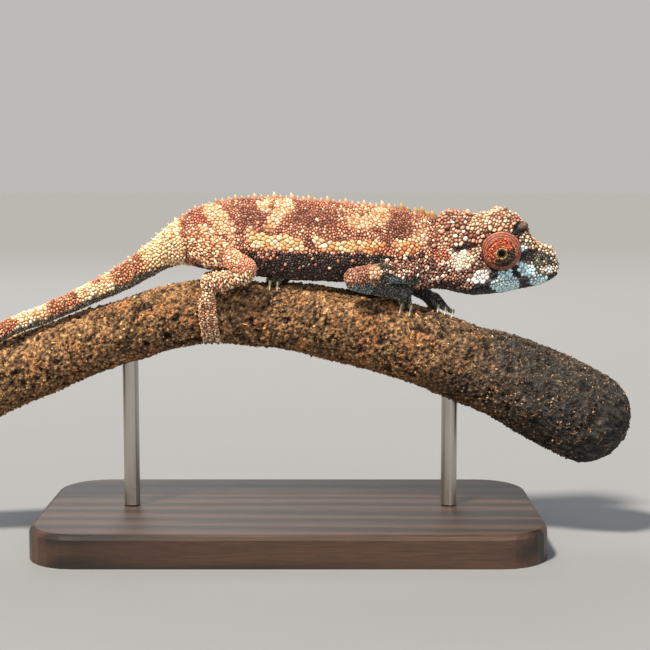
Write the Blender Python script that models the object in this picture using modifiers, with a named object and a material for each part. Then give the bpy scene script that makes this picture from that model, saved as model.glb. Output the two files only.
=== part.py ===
"""Jackson's chameleon gripping a cut branch, carried by a plain display stand, at life size.

The animal faces +X and its right side faces -Y. The origin is the centre of the stand's
underside and +Z is up. Sizes are in millimetres until a mesh is made, where MM scales them.
"""

import math
import random

import bmesh
import bpy
import numpy as np
from mathutils import Matrix, Vector

MM = 0.001
GAP = 0.3  # clearance between pieces that touch
UP = np.array((0.0, 0.0, 1.0))
RIGHT_SIDE = -1
LEFT_SIDE = 1

# Body and tail: x, y, z of the middle line, half height, half width, from the nape backwards
TRUNK_STATIONS = (
    (36.4, 0.0, 71.75, 8.8, 6.3),
    (33.2, 0.0, 71.9, 9.3, 6.6),
    (28.8, 0.0, 72.7, 9.65, 7.4),
    (20.0, 0.0, 73.8, 9.8, 8.4),
    (10.0, 0.0, 74.6, 10.0, 8.8),
    (0.0, 0.0, 75.2, 10.2, 8.6),
    (-8.8, 0.0, 75.8, 9.8, 8.0),
    (-16.3, 0.0, 75.8, 9.1, 7.1),
    (-22.5, 0.0, 75.2, 7.6, 6.1),
    (-27.5, 0.0, 74.0, 5.6, 4.7),
    (-30.8, 0.0, 72.3, 4.5, 3.9),
    (-35.8, 0.0, 69.0, 3.7, 3.3),
    (-41.0, -0.5, 65.8, 3.25, 2.95),
    (-47.5, -1.4, 62.6, 2.9, 2.65),
    (-59.3, -3.3, 57.3, 2.5, 2.3),
    (-72.5, -5.0, 51.4, 2.15, 2.0),
)
TRUNK_STEP = 0.25  # spacing at which the middle line is read
RIDGE_FROM, RIDGE_FULL = 4.0, 9.0  # half heights between which the back turns from round to ridged
BELLY_DROP = 0.16  # how far the widest line lies below the middle, as a share of the half height
RIDGE_SHARPNESS, BELLY_FULLNESS = 0.28, 0.1

# The last stretch of the tail winds round the branch
COIL_ADVANCE = 15.0  # along the branch
COIL_TURN = math.radians(228)
COIL_EASE = 1.7
COIL_CLEARANCE = 0.55
TAIL_TIP_RADIUS = 0.55

NECK_BACK_X = 33.0
TAIL_ROOT_X = -27.0
TAIL_MIDDLE_X = -49.0
TAIL_COIL_X = -74.0
COIL_LENGTHS = 3

# Dorsal crest: one tall cone and two low ones, over and over
CREST_FRONT_X, CREST_BACK_X = 35.45, -46.0
CREST_PITCH = 4.45
# x and the height of the tall spines there, from the tail to the nape
CREST_HEIGHTS = (
    (-46.0, 0.5),
    (-20.0, 0.75),
    (-5.0, 1.2),
    (10.0, 1.05),
    (18.0, 1.15),
    (24.0, 1.5),
    (30.0, 1.8),
    (35.5, 1.6),
)
CREST_LOW_SHARE = 0.55  # height of the low spines between them
CREST_SUNK = 0.9
CREST_SLIMNESS = 0.56  # root radius as a share of the height
CREST_LEAN = 0.3  # towards the tail
CREST_SIDES = 5
CREST_SEED = 11

# Head sections: x, crown z, brow y and z, cheek y and z, lip y and z, jaw y and z, throat z
HEAD_STATIONS = (
    (36.7, 81.2, 3.4, 78.8, 6.4, 72.5, 5.9, 67.6, 4.3, 64.4, 62.7),
    (37.8, 82.3, 3.6, 79.8, 6.6, 72.7, 6.2, 67.5, 4.5, 64.2, 62.6),
    (39.6, 82.5, 4.0, 80.3, 6.9, 73.0, 6.6, 67.3, 4.8, 63.9, 62.3),
    (41.3, 82.3, 4.4, 80.4, 7.1, 73.4, 7.0, 67.0, 5.2, 63.2, 61.9),
    (44.5, 81.8, 5.0, 80.6, 7.3, 73.4, 7.2, 66.2, 5.4, 62.7, 61.3),
    (48.3, 80.7, 5.5, 81.1, 6.9, 73.4, 6.9, 65.7, 5.0, 62.8, 61.4),
    (52.8, 81.0, 5.4, 82.6, 6.3, 72.6, 6.3, 66.1, 4.7, 63.2, 61.9),
    (55.9, 79.8, 4.8, 81.2, 5.4, 72.4, 5.7, 66.7, 4.2, 63.8, 62.4),
    (57.9, 77.4, 4.0, 78.7, 4.6, 71.8, 5.1, 67.1, 3.8, 64.2, 62.8),
    (59.9, 75.4, 3.0, 75.7, 4.1, 71.3, 4.6, 67.4, 3.4, 64.6, 63.2),
    (62.6, 73.9, 2.4, 73.9, 3.4, 70.9, 3.9, 67.7, 2.9, 65.2, 63.9),
    (65.0, 72.9, 1.7, 72.7, 2.4, 70.4, 3.0, 68.0, 2.1, 66.1, 65.1),
    (66.1, 70.8, 1.2, 70.7, 1.8, 69.6, 2.2, 68.2, 1.4, 66.9, 66.0),
    (66.8, 69.2, 0.7, 69.1, 1.1, 68.7, 1.3, 68.2, 0.8, 67.5, 67.0),
)
HEAD_RINGS = 30
HEAD_POINTS_PER_SIDE = 3  # between two of a section's features

# Line of the mouth in side view, from in front of the snout to its corner and down behind the jaw
MOUTH_LINE = (
    (70.0, 68.0),
    (67.5, 67.6),
    (64.5, 66.7),
    (61.3, 66.0),
    (55.8, 65.5),
    (52.0, 65.2),
    (49.1, 64.2),
    (46.5, 63.3),
    (44.2, 62.9),
    (42.8, 61.6),
    (42.0, 58.0),
)
JAW_FLOOR = 54.0
JAW_REACH = 12.0  # half the cutter's width

# Eye turrets
EYE_X, EYE_Y, EYE_Z = 51.8, 5.3, 72.7
TURRET_RADIUS, TURRET_HEIGHT = 5.0, 4.4
TURRET_BACK = 3.4
TURRET_FOLDS = 3
TURRET_FOLD_DEPTH = 0.14
LID_OPENING = 1.25
EYEBALL_RADIUS, EYEBALL_DEPTH = 2.2, 1.85
GAZE = {RIGHT_SIDE: (-4.0, -9.0), LEFT_SIDE: (14.0, 3.0)}  # degrees forwards and up

# Horn buds: root, direction, radius, length, radius of the blunt tip
ROSTRAL_BUD = ((64.1, 0.0, 71.6), (0.45, 0.0, 0.89), 0.85, 2.4, 0.3)
BROW_BUD = ((55.2, 3.9, 78.4), (0.97, 0.18, 0.1), 1.3, 3.4, 0.65)
NOSTRIL_AT = (62.4, 3.75, 70.1)
NOSTRIL_RADIUS = 0.5

# Limbs: x, y on the left, z and radius, from the trunk outwards
LIMBS = {
    "front_right_upper_arm": (
        (30.0, -4.6, 67.4, 3.2),
        (25.0, -7.8, 67.3, 2.75),
        (19.5, -10.0, 67.0, 2.5),
        (15.6, -10.8, 66.3, 2.5),
    ),
    "front_right_forearm": ((15.8, -10.4, 65.2, 2.25), (20.2, -8.7, 64.0, 2.1), (25.2, -6.9, 62.4, 1.75)),
    "front_left_upper_arm": ((30.0, 4.6, 67.4, 3.2), (27.8, 8.0, 66.4, 2.7), (25.8, 10.0, 64.7, 2.45)),
    "front_left_forearm": ((25.9, 9.8, 63.8, 2.2), (30.6, 8.2, 62.6, 1.95), (35.4, 5.0, 60.2, 1.7)),
    "rear_right_thigh": (
        (-23.0, -2.6, 74.6, 4.4),
        (-18.5, -6.4, 72.2, 4.0),
        (-13.5, -9.2, 70.1, 3.1),
        (-10.0, -10.6, 68.8, 2.5),
    ),
    "rear_right_shin": ((-10.4, -10.7, 67.4, 2.15), (-14.5, -10.9, 65.9, 2.0), (-19.0, -10.6, 64.9, 2.2)),
    "rear_left_thigh": (
        (-23.0, 2.6, 74.6, 4.4),
        (-16.0, 7.4, 72.4, 3.8),
        (-8.0, 10.4, 70.2, 3.0),
        (-3.4, 11.2, 68.9, 2.5),
    ),
    "rear_left_shin": ((-3.3, 11.2, 67.6, 2.2), (-3.5, 10.9, 65.0, 2.05), (-4.4, 9.9, 62.8, 2.0)),
}
LIMB_RINGS, LIMB_SIDES = 7, 11

# Feet. Angles run round the branch in degrees from its top, positive on the left side.
# branch_x is where the foot stands; each bundle has its toes, first and last angle,
# drift along the branch and spread.
FEET = {
    "front_right_foot": {
        "shin": "front_right_forearm",
        "branch_x": 25.1,
        "bundles": ((2, -24.0, -36.0, 1.0, 2.2), (3, -6.0, 30.0, 0.2, 1.6)),
        "lift": 1.9,
    },
    "front_left_foot": {
        "shin": "front_left_forearm",
        "branch_x": 33.0,
        "bundles": ((3, 17.0, -5.0, 2.2, 1.7), (2, 32.0, 62.0, 0.6, 1.7)),
        "lift": 1.7,
    },
    "rear_right_foot": {
        "shin": "rear_right_shin",
        "branch_x": -19.7,
        "bundles": ((3, -72.0, -138.0, 0.4, 1.8), (2, -42.0, 18.0, 1.0, 1.7)),
        "lift": 1.4,
    },
    "rear_left_foot": {
        "shin": "rear_left_shin",
        "branch_x": -2.4,
        "bundles": ((2, 30.0, -27.0, -2.2, 1.8), (3, 70.0, 128.0, 0.4, 1.7)),
        "lift": 1.4,
    },
}
TOE_RADIUS, TOE_TIP_RADIUS = 1.0, 0.78
TOE_RINGS, TOE_SIDES = 5, 6
CLAW_SIDES = 5
SOLE_RINGS, SOLE_SIDES = 4, 8
CLAW_RADIUS, CLAW_TIP_RADIUS, CLAW_LENGTH = 0.45, 0.12, 1.7
PALM_RADIUS = 1.75

# Branch: x and z of its middle line and its radius, from the saw cut to the blunt end
BRANCH_STATIONS = (
    (-96.0, 29.7, 8.9),
    (-72.5, 40.5, 8.7),
    (-57.5, 46.5, 8.0),
    (-41.0, 52.4, 7.6),
    (-22.5, 57.0, 8.0),
    (-5.0, 56.4, 8.0),
    (10.0, 54.3, 8.7),
    (20.0, 52.2, 9.2),
    (33.8, 48.0, 9.6),
    (44.3, 44.2, 9.8),
    (55.0, 40.2, 10.6),
    (65.5, 35.2, 11.4),
    (74.5, 30.6, 11.3),
)
BRANCH_RINGS, BRANCH_SIDES = 30, 20
BRANCH_END_ANGLES = (20, 40, 58, 74)
BRANCH_BLUNTNESS = 0.95  # how far the end runs out, in radii
# Waves round the branch: how many, how many radians per millimetre along it, phase, height
BRANCH_WAVES = ((2, 0.11, 0.4, 0.16), (3, -0.23, 1.9, 0.12), (5, 0.37, 0.8, 0.09), (7, -0.52, 2.6, 0.06))

# Stand
BASE_LENGTH, BASE_WIDTH, BASE_HEIGHT = 124.0, 62.0, 8.0
BASE_CORNER, BASE_EDGE = 12.0, 1.2
ROD_RADIUS, ROD_SIDES = 2.0, 20
ROD_AT = {"stand_rod_rear": -40.0, "stand_rod_front": 40.0}

COLOURS = {  # sRGB, roughness
    "skin": ((0.56, 0.38, 0.31), 0.7),
    "pale_skin": ((0.85, 0.72, 0.58), 0.7),
    "lid": ((0.58, 0.27, 0.18), 0.55),
    "eyeball": ((0.06, 0.04, 0.03), 0.12),
    "horn": ((0.27, 0.2, 0.17), 0.5),
    "bark": ((0.34, 0.24, 0.17), 0.95),
    "stand": ((0.16, 0.14, 0.13), 0.45),
    "metal": ((0.45, 0.43, 0.4), 0.35),
}


def clear_scene():
    for obj in list(bpy.data.objects):
        bpy.data.objects.remove(obj, do_unlink=True)


def collection(name, hidden=False):
    made = bpy.data.collections.new(name)
    made.hide_render = hidden
    bpy.context.scene.collection.children.link(made)
    return made


def through(keys, values, at):
    """A smooth curve through the values at their keys, read at other places."""
    keys, values = np.asarray(keys, float), np.asarray(values, float)
    values = values.reshape(len(keys), -1)
    slopes = np.gradient(values, keys, axis=0)
    at = np.atleast_1d(np.asarray(at, float))
    i = np.clip(np.searchsorted(keys, at, side="right") - 1, 0, len(keys) - 2)
    width = (keys[i + 1] - keys[i])[:, None]
    t = (at[:, None] - keys[i][:, None]) / width
    return (
        (2 * t**3 - 3 * t**2 + 1) * values[i]
        + (t**3 - 2 * t**2 + t) * width * slopes[i]
        + (3 * t**2 - 2 * t**3) * values[i + 1]
        + (t**3 - t**2) * width * slopes[i + 1]
    )


def unit(vectors):
    vectors = np.asarray(vectors, float)
    return vectors / np.linalg.norm(vectors, axis=-1, keepdims=True)


def travelled(points):
    steps = np.linalg.norm(np.diff(points, axis=0), axis=1)
    return np.concatenate([[0.0], np.cumsum(steps)])


def transported(tangents, first_up):
    """Up directions that turn as little as they can along a line."""
    ups = []
    up = np.asarray(first_up, float)
    for tangent in tangents:
        up = unit(up - np.dot(up, tangent) * tangent)
        ups.append(up)
    return np.array(ups)


def add_object(name, mesh, home):
    obj = bpy.data.objects.new(name, mesh)
    home.objects.link(obj)
    return obj


def loft(name, rings, home):
    """One closed body through rings of equally many points, with a flat face at each end."""
    count = len(rings[0])
    points = [tuple(p) for ring in rings for p in np.asarray(ring) * MM]
    faces = [list(range(count)), [len(points) - 1 - k for k in range(count)]]
    for r in range(len(rings) - 1):
        near, far = r * count, (r + 1) * count
        for k in range(count):
            after = (k + 1) % count
            faces.append([near + k, far + k, far + after, near + after])
    mesh = bpy.data.meshes.new(name)
    mesh.from_pydata(points, [], faces)
    outwards(mesh)
    return add_object(name, mesh, home)


def outwards(mesh):
    body = bmesh.new()
    body.from_mesh(mesh)
    bmesh.ops.remove_doubles(body, verts=body.verts, dist=1e-6)
    bmesh.ops.recalc_face_normals(body, faces=body.faces)
    if body.calc_volume(signed=True) < 0:
        bmesh.ops.reverse_faces(body, faces=body.faces)
    body.to_mesh(mesh)
    body.free()


def tube(name, stations, home, rings, sides, grow=0.0, spacing=None):
    """A round limb through stations of x, y, z and radius, with domed ends."""
    stations = np.asarray(stations, float)
    keys = travelled(stations[:, :3])
    at = np.linspace(0, keys[-1], rings)
    rows = through(keys, stations, at)
    middle, radii = rows[:, :3], rows[:, 3] + grow
    tangents = unit(np.gradient(middle, axis=0))
    ups = transported(tangents, np.cross(tangents[0], (0.3, 0.9, 0.1)))
    sides_of = np.cross(tangents, ups)
    angles = np.linspace(0, 2 * math.pi, sides, endpoint=False)
    around = np.cos(angles)[:, None, None] * ups + np.sin(angles)[:, None, None] * sides_of
    made = [middle[i] + radii[i] * around[:, i] for i in range(rings)]
    domes = (math.radians(35), math.radians(68))
    front, back = [
        [middle[i] + radii[i] * (way * math.sin(a) * tangents[i] + math.cos(a) * around[:, i]) for a in domes]
        for i, way in ((0, -1), (-1, 1))
    ]
    return loft(name, front[::-1] + made + back, home)


def turned(name, profile, home, steps):
    """A profile of radius and height turned about the Z axis by a Screw modifier."""
    mesh = bpy.data.meshes.new(name)
    edges = [(i, i + 1) for i in range(len(profile) - 1)]
    mesh.from_pydata([(r * MM, 0.0, z * MM) for r, z in profile], edges, [])
    obj = add_object(name, mesh, home)
    screw = obj.modifiers.new("turn", "SCREW")
    screw.angle = 2 * math.pi
    screw.steps = screw.render_steps = steps
    screw.use_merge_vertices = True
    screw.merge_threshold = 1e-5
    bake(obj)
    outwards(obj.data)
    return obj


def bake(obj):
    """Applies the modifiers and the placing of an object."""
    bpy.context.view_layer.update()
    graph = bpy.context.evaluated_depsgraph_get()
    mesh = bpy.data.meshes.new_from_object(obj.evaluated_get(graph))
    obj.modifiers.clear()
    obj.data = mesh
    obj.data.transform(obj.matrix_world)
    obj.matrix_world = Matrix.Identity(4)
    return obj


def aim(obj, place, direction):
    """Turns +Z to a direction and moves the origin to a place."""
    turn = Vector(direction).to_track_quat("Z", "Y").to_matrix().to_4x4()
    obj.data.transform(Matrix.Translation(Vector(place) * MM) @ turn)
    return obj


def copy_of(obj, home):
    made = add_object(obj.name + "_copy", obj.data.copy(), home)
    return made


def cut(target, operation, *tools):
    """Cuts a piece by others, which go afterwards."""
    for tool in tools:
        modifier = target.modifiers.new("cut", "BOOLEAN")
        modifier.operation = operation
        modifier.object = tool
        modifier.solver = "EXACT"
    bake(target)
    for tool in tools:
        bpy.data.objects.remove(tool, do_unlink=True)
    largest_body(target)
    return target


def fuse(target, pieces):
    """Joins closed pieces to a target by one union on their collection."""
    joined = collection("joined", hidden=True)
    for piece in pieces:
        for home in list(piece.users_collection):
            home.objects.unlink(piece)
        joined.objects.link(piece)
    modifier = target.modifiers.new("fuse", "BOOLEAN")
    modifier.operation = "UNION"
    modifier.operand_type = "COLLECTION"
    modifier.collection = joined
    modifier.solver = "EXACT"
    bake(target)
    for piece in pieces:
        bpy.data.objects.remove(piece, do_unlink=True)
    bpy.data.collections.remove(joined)
    largest_body(target)
    return target


def largest_body(obj):
    """Keeps only an object's largest closed surface."""
    body = bmesh.new()
    body.from_mesh(obj.data)
    bmesh.ops.remove_doubles(body, verts=body.verts, dist=1e-7)
    left, islands = set(body.faces), []
    while left:
        first = left.pop()
        island, queue = {first}, [first]
        while queue:
            for edge in queue.pop().edges:
                for face in edge.link_faces:
                    if face in left:
                        left.discard(face)
                        island.add(face)
                        queue.append(face)
        islands.append(island)
    keep = max(islands, key=lambda island: sum(face.calc_area() for face in island))
    bmesh.ops.delete(body, geom=[f for f in body.faces if f not in keep], context="FACES")
    body.to_mesh(obj.data)
    body.free()


def finish(obj, colour):
    shade, roughness = COLOURS[colour]
    material = bpy.data.materials.get(colour) or bpy.data.materials.new(colour)
    material.use_nodes = True
    shader = material.node_tree.nodes["Principled BSDF"]
    shader.inputs["Base Color"].default_value = (*[c**2.2 for c in shade], 1.0)
    shader.inputs["Roughness"].default_value = roughness
    shader.inputs["Metallic"].default_value = 1.0 if colour == "metal" else 0.0
    obj.data.materials.clear()
    obj.data.materials.append(material)
    obj.data.shade_smooth()
    obj.data.set_sharp_from_angle(angle=math.radians(40))


def branch_axis(x):
    """Middle, direction, up and radius of the branch at x."""
    keys = [s[0] for s in BRANCH_STATIONS]
    step = 0.5
    z0, z1 = through(keys, [s[1] for s in BRANCH_STATIONS], [x - step, x + step])[:, 0]
    z, radius = through(keys, [s[1:] for s in BRANCH_STATIONS], x)[0]
    along = unit((2 * step, 0.0, z1 - z0))
    return np.array((x, 0.0, z)), along, np.array((-along[2], 0.0, along[0])), radius


def branch_point(x, angle, lift=0.0):
    """A point over the bark, by its angle from the top, positive to the left."""
    middle, _, up, radius = branch_axis(x)
    waves = sum(
        height * math.sin(count * angle + rate * x + phase) for count, rate, phase, height in BRANCH_WAVES
    )
    out = math.cos(angle) * up + math.sin(angle) * np.array((0.0, 1.0, 0.0))
    return middle + (radius + waves + lift) * out


def branch(name, home, grow=0.0):
    """The branch with its saw cut at the tail end and its blunt end under the snout."""
    angles = np.linspace(0, 2 * math.pi, BRANCH_SIDES, endpoint=False)
    xs = np.linspace(BRANCH_STATIONS[0][0] - grow, BRANCH_STATIONS[-1][0], BRANCH_RINGS)
    rings = [np.array([branch_point(x, a, grow) for a in angles]) for x in xs]
    middle, along, _, radius = branch_axis(xs[-1])
    last = rings[-1] - middle
    for degrees in BRANCH_END_ANGLES:
        a = math.radians(degrees)
        rings.append(middle + last * math.cos(a) + along * (radius + grow) * math.sin(a) * BRANCH_BLUNTNESS)
    return loft(name, rings, home)


def coil_stations():
    """The end of the tail, wound round the branch, from where the photographed stretch ends."""
    x0, y0, z0, r0 = (TRUNK_STATIONS[-1][k] for k in (0, 1, 2, 4))
    middle, along, up, radius = branch_axis(x0)
    offset = np.array((x0, y0, z0)) - middle
    start_angle = math.atan2(offset[1], np.dot(offset, up))
    start_lift = math.hypot(offset[1], np.dot(offset, up)) - radius
    start_x = x0 + np.dot(offset, along) * along[0]
    made = []
    for t in np.linspace(0, 1, 22)[1:]:
        thickness = r0 + (TAIL_TIP_RADIUS - r0) * t
        x = start_x - COIL_ADVANCE * (1 - (1 - t) ** 2)
        angle = start_angle - COIL_TURN * t**COIL_EASE
        settled = min(1.0, t / 0.25)
        lift = start_lift * (1 - settled) + (thickness + COIL_CLEARANCE) * settled
        made.append((*branch_point(x, angle, lift), thickness * 1.04, thickness * 0.96))
    return made


def trunk_line():
    """The middle line of neck, torso and tail, with its frames and half sizes."""
    stations = np.array([*TRUNK_STATIONS, *coil_stations()])
    keys = travelled(stations[:, :3])
    at = np.arange(0, keys[-1], TRUNK_STEP)
    rows = through(keys, stations, at)
    tangents = unit(np.gradient(rows[:, :3], axis=0))
    return {"at": at, "rows": rows, "tangents": tangents, "ups": transported(tangents, UP)}


def trunk_frame(line, s):
    """Middle, up, side and half sizes at a distance along the trunk."""
    row = np.array([np.interp(s, line["at"], column) for column in line["rows"].T])
    up = unit([np.interp(s, line["at"], column) for column in line["ups"].T])
    tangent = unit([np.interp(s, line["at"], column) for column in line["tangents"].T])
    return row[:3], up, np.cross(tangent, up), row[3], row[4]


def trunk_ring(line, s, sides, grow=0.0):
    """One cross-section: a ridge above, ribs at the widest line and a narrower belly."""
    middle, up, side, half_height, half_width = trunk_frame(line, s)
    ridged = min(1.0, max(0.0, (half_height - RIDGE_FROM) / (RIDGE_FULL - RIDGE_FROM)))
    drop = BELLY_DROP * ridged * half_height
    ring = []
    for k in range(sides):
        angle = 2 * math.pi * k / sides
        c, s_ = math.cos(angle), math.sin(angle)
        above = c > 0
        power = 1 + RIDGE_SHARPNESS * ridged if above else 1 - BELLY_FULLNESS * ridged
        reach = half_height + drop if above else half_height - drop
        across = math.copysign(abs(s_) ** power, s_) * (half_width + grow)
        ring.append(middle + up * (c * (reach + grow) - drop) + side * across)
    return np.array(ring)


def trunk_piece(name, line, start, end, rings, sides, home, grow=0.0):
    trim = GAP / 2 - grow
    places = np.linspace(start + trim, end - trim, rings)
    return loft(name, [trunk_ring(line, s, sides, grow) for s in places], home)


def trunk_at_x(line, x):
    """Distance along the trunk at which its middle line passes x."""
    xs = line["rows"][:, 0]
    first = int(np.argmax(xs <= x))
    return line["at"][first]


def spine(name, root, direction, lean, height, home):
    """A conical crest scale with its root sunk in, bent towards the tail."""
    radius = height * CREST_SLIMNESS
    side = unit(np.cross(direction, lean))
    angles = np.linspace(0, 2 * math.pi, CREST_SIDES, endpoint=False)
    points = []
    for rise, bend, size in ((-CREST_SUNK, 0.0, radius * 1.2), (height * 0.5, height * 0.08, radius * 0.62)):
        middle = root + direction * rise + lean * bend
        points += [middle + size * (math.cos(a) * lean + math.sin(a) * side) for a in angles]
    points.append(root + direction * height + lean * height * CREST_LEAN)
    tip = len(points) - 1
    faces = [list(range(CREST_SIDES))]
    for k in range(CREST_SIDES):
        after = (k + 1) % CREST_SIDES
        faces.append([k, after, CREST_SIDES + after, CREST_SIDES + k])
        faces.append([CREST_SIDES + k, CREST_SIDES + after, tip])
    mesh = bpy.data.meshes.new(name)
    mesh.from_pydata([tuple(p * MM) for p in points], [], faces)
    outwards(mesh)
    return add_object(name, mesh, home)


def crest(line, start, end, home):
    """The crest cones that stand on one stretch of the trunk."""
    draw = random.Random(CREST_SEED)
    first, last = trunk_at_x(line, CREST_FRONT_X), trunk_at_x(line, CREST_BACK_X)
    pieces, count = [], 0
    place = first
    while place < last:
        middle, up, side, half_height, _ = trunk_frame(line, place)
        size = np.interp(middle[0], *zip(*CREST_HEIGHTS)) * draw.uniform(0.88, 1.12)
        size *= CREST_LOW_SHARE if count % 3 else 1.0
        margin = size * CREST_SLIMNESS * 1.3 + GAP
        if start + margin < place < end - margin:
            back = np.cross(side, up) * -1
            back = back if back[0] < 0 else -back
            pieces.append(spine(f"crest_{count}", middle + up * half_height, up, back, size, home))
        place += CREST_PITCH / 3 * draw.uniform(0.94, 1.06)
        count += 1
    return pieces


def head_ring(row):
    """A closed head section through crown, brow, cheek, lip, jaw and throat."""
    x, crown, brow_y, brow_z, cheek_y, cheek_z, lip_y, lip_z, jaw_y, jaw_z, throat = row
    left = [(brow_y, brow_z), (cheek_y, cheek_z), (lip_y, lip_z), (jaw_y, jaw_z)]
    marks = [(0.0, crown), *left, (0.0, throat), *[(-y, z) for y, z in reversed(left)]]
    marks = np.array(marks)
    count = len(marks)
    looped = np.array([marks[i % count] for i in range(-2, count + 3)])
    keys = np.arange(-2, count + 3)
    at = np.arange(count * HEAD_POINTS_PER_SIDE) / HEAD_POINTS_PER_SIDE
    yz = through(keys, looped, at)
    return np.column_stack([np.full(len(yz), x), yz])


def whole_head(home):
    keys = [s[0] for s in HEAD_STATIONS]
    xs = np.linspace(keys[0], keys[-1], HEAD_RINGS)
    rows = through(keys, HEAD_STATIONS, xs)
    return loft("head", [head_ring(row) for row in rows], home)


def mouth_region(home, shift):
    """The space of the lower jaw: all below the mouth line, moved up and back by a shift."""
    line = np.array(MOUTH_LINE)
    normals = unit(np.column_stack([-np.gradient(line[:, 1]), np.gradient(line[:, 0])]))
    line = line - normals * shift
    outline = [*map(tuple, line), (line[-1][0], JAW_FLOOR), (line[0][0], JAW_FLOOR)]
    body = bmesh.new()
    corners = [body.verts.new((x * MM, -JAW_REACH * MM, z * MM)) for x, z in outline]
    face = body.faces.new(corners)
    swept = bmesh.ops.extrude_face_region(body, geom=[face])
    moved = [v for v in swept["geom"] if isinstance(v, bmesh.types.BMVert)]
    bmesh.ops.translate(body, verts=moved, vec=(0, 2 * JAW_REACH * MM, 0))
    mesh = bpy.data.meshes.new("mouth_region")
    body.to_mesh(mesh)
    body.free()
    outwards(mesh)
    return add_object("mouth_region", mesh, home)


def gaze_direction(side):
    forwards, upwards = (math.radians(a) for a in GAZE[side])
    level = math.cos(upwards)
    return (level * math.sin(forwards), side * level * math.cos(forwards), math.sin(upwards))


def turret_profile():
    """Pocket, lid opening, folded dome and back of an eye turret, as radius and height."""
    pocket = EYEBALL_RADIUS + GAP
    rim = math.asin(LID_OPENING / pocket)
    turns = np.linspace(0, math.pi - rim, 7)
    inner = [(pocket * math.sin(a), EYEBALL_DEPTH - pocket * math.cos(a)) for a in turns]
    opening = math.asin((LID_OPENING + 0.25) / TURRET_RADIUS)
    outer = []
    for a in np.linspace(opening, math.pi / 2, 13):
        turn = 2 * math.pi * TURRET_FOLDS * (a - opening) / (math.pi / 2 - opening)
        fold = TURRET_FOLD_DEPTH * math.cos(turn)
        outer.append(((TURRET_RADIUS - fold) * math.sin(a), (TURRET_HEIGHT - fold) * math.cos(a)))
    back = [(TURRET_RADIUS, -TURRET_BACK * 0.6), (TURRET_RADIUS * 0.85, -TURRET_BACK), (0.0, -TURRET_BACK)]
    return [*inner, *outer, *back]


def bud_profile(radius, length, tip, grow=0.0):
    """A blunt horn bud, from its tip to the middle of its root."""
    radius, tip, top = radius + grow, tip + grow, length + grow
    blunt = [(0.0, top), (tip * 0.7, top - tip * 0.3), (tip, top - tip * 0.8)]
    return [*blunt, (radius * 0.9, length * 0.35), (radius, -grow), (0.0, -grow)]


def horn_bud(name, bud, side, home, grow=0.0):
    root, direction, radius, length, tip = bud
    piece = turned(name, bud_profile(radius, length, tip, grow), home, 12)
    return aim(piece, (root[0], side * root[1], root[2]), (direction[0], side * direction[1], direction[2]))


def ball(name, place, radius, home, segments=14):
    mesh = bpy.data.meshes.new(name)
    body = bmesh.new()
    bmesh.ops.create_uvsphere(body, u_segments=segments, v_segments=segments // 2 + 2, radius=radius * MM)
    bmesh.ops.translate(body, verts=body.verts, vec=Vector(place) * MM)
    body.to_mesh(mesh)
    body.free()
    return add_object(name, mesh, home)


def cylinder(name, radius, low, high, sides, home):
    mesh = bpy.data.meshes.new(name)
    body = bmesh.new()
    size = {"radius1": radius * MM, "radius2": radius * MM, "depth": (high - low) * MM}
    bmesh.ops.create_cone(body, cap_ends=True, segments=sides, **size)
    bmesh.ops.translate(body, verts=body.verts, vec=(0, 0, (high + low) / 2 * MM))
    body.to_mesh(mesh)
    body.free()
    return add_object(name, mesh, home)


def build_head(part, tools):
    """Head, lower jaw, eye turrets, eyeballs and horn buds."""
    head = whole_head(part)
    jaw = copy_of(head, part)
    jaw.name = "jaw"
    cut(jaw, "INTERSECT", mouth_region(tools, 0.0))
    cut(head, "DIFFERENCE", mouth_region(tools, GAP))
    finish(jaw, "skin")
    for side, word in ((RIGHT_SIDE, "right"), (LEFT_SIDE, "left")):
        place, gaze = (EYE_X, side * EYE_Y, EYE_Z), gaze_direction(side)
        socket = cylinder("socket", TURRET_RADIUS + GAP, -TURRET_BACK - GAP, 9.0, 32, tools)
        cut(head, "DIFFERENCE", aim(socket, place, gaze))
        lid = aim(turned(f"eyelid_{word}", turret_profile(), part, 24), place, gaze)
        finish(lid, "lid")
        eyeball = ball(f"eye_{word}", np.array(place) + EYEBALL_DEPTH * np.array(gaze), EYEBALL_RADIUS, part)
        finish(eyeball, "eyeball")
        x, y, z = NOSTRIL_AT
        nostril = ball("nostril", (x, side * y, z), NOSTRIL_RADIUS, tools, 10)
        cut(head, "DIFFERENCE", horn_bud("seat", BROW_BUD, side, tools, GAP), nostril)
        finish(horn_bud(f"horn_brow_{word}", BROW_BUD, side, part), "horn")
    cut(head, "DIFFERENCE", horn_bud("seat", ROSTRAL_BUD, RIGHT_SIDE, tools, GAP))
    finish(horn_bud("horn_rostral", ROSTRAL_BUD, RIGHT_SIDE, part), "horn")
    finish(head, "skin")


def build_trunk(line, part):
    """Neck, torso and the lengths of the tail."""
    neck_back, tail_root = trunk_at_x(line, NECK_BACK_X), trunk_at_x(line, TAIL_ROOT_X)
    tail_middle, tail_coil = trunk_at_x(line, TAIL_MIDDLE_X), trunk_at_x(line, TAIL_COIL_X)
    end = line["at"][-1]
    stretches = [
        ("neck", 0.0, neck_back, 3, 20, "skin"),
        ("torso", neck_back, tail_root, 22, 20, "skin"),
        ("tail_root", tail_root, tail_middle, 9, 14, "skin"),
        ("tail_middle", tail_middle, tail_coil, 7, 12, "pale_skin"),
    ]
    bounds = np.linspace(tail_coil, end, COIL_LENGTHS + 1)
    for k, (start, stop) in enumerate(zip(bounds, bounds[1:])):
        stop += GAP / 2 if stop == end else 0
        stretches.append((f"tail_coil_{k + 1}", start, stop, 10, 10, "skin"))
    for name, start, stop, rings, sides, colour in stretches:
        piece = trunk_piece(name, line, start, stop, rings, sides, part)
        cones = crest(line, start, stop, part)
        if cones:
            fuse(piece, cones)
        finish(piece, colour)


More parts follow.
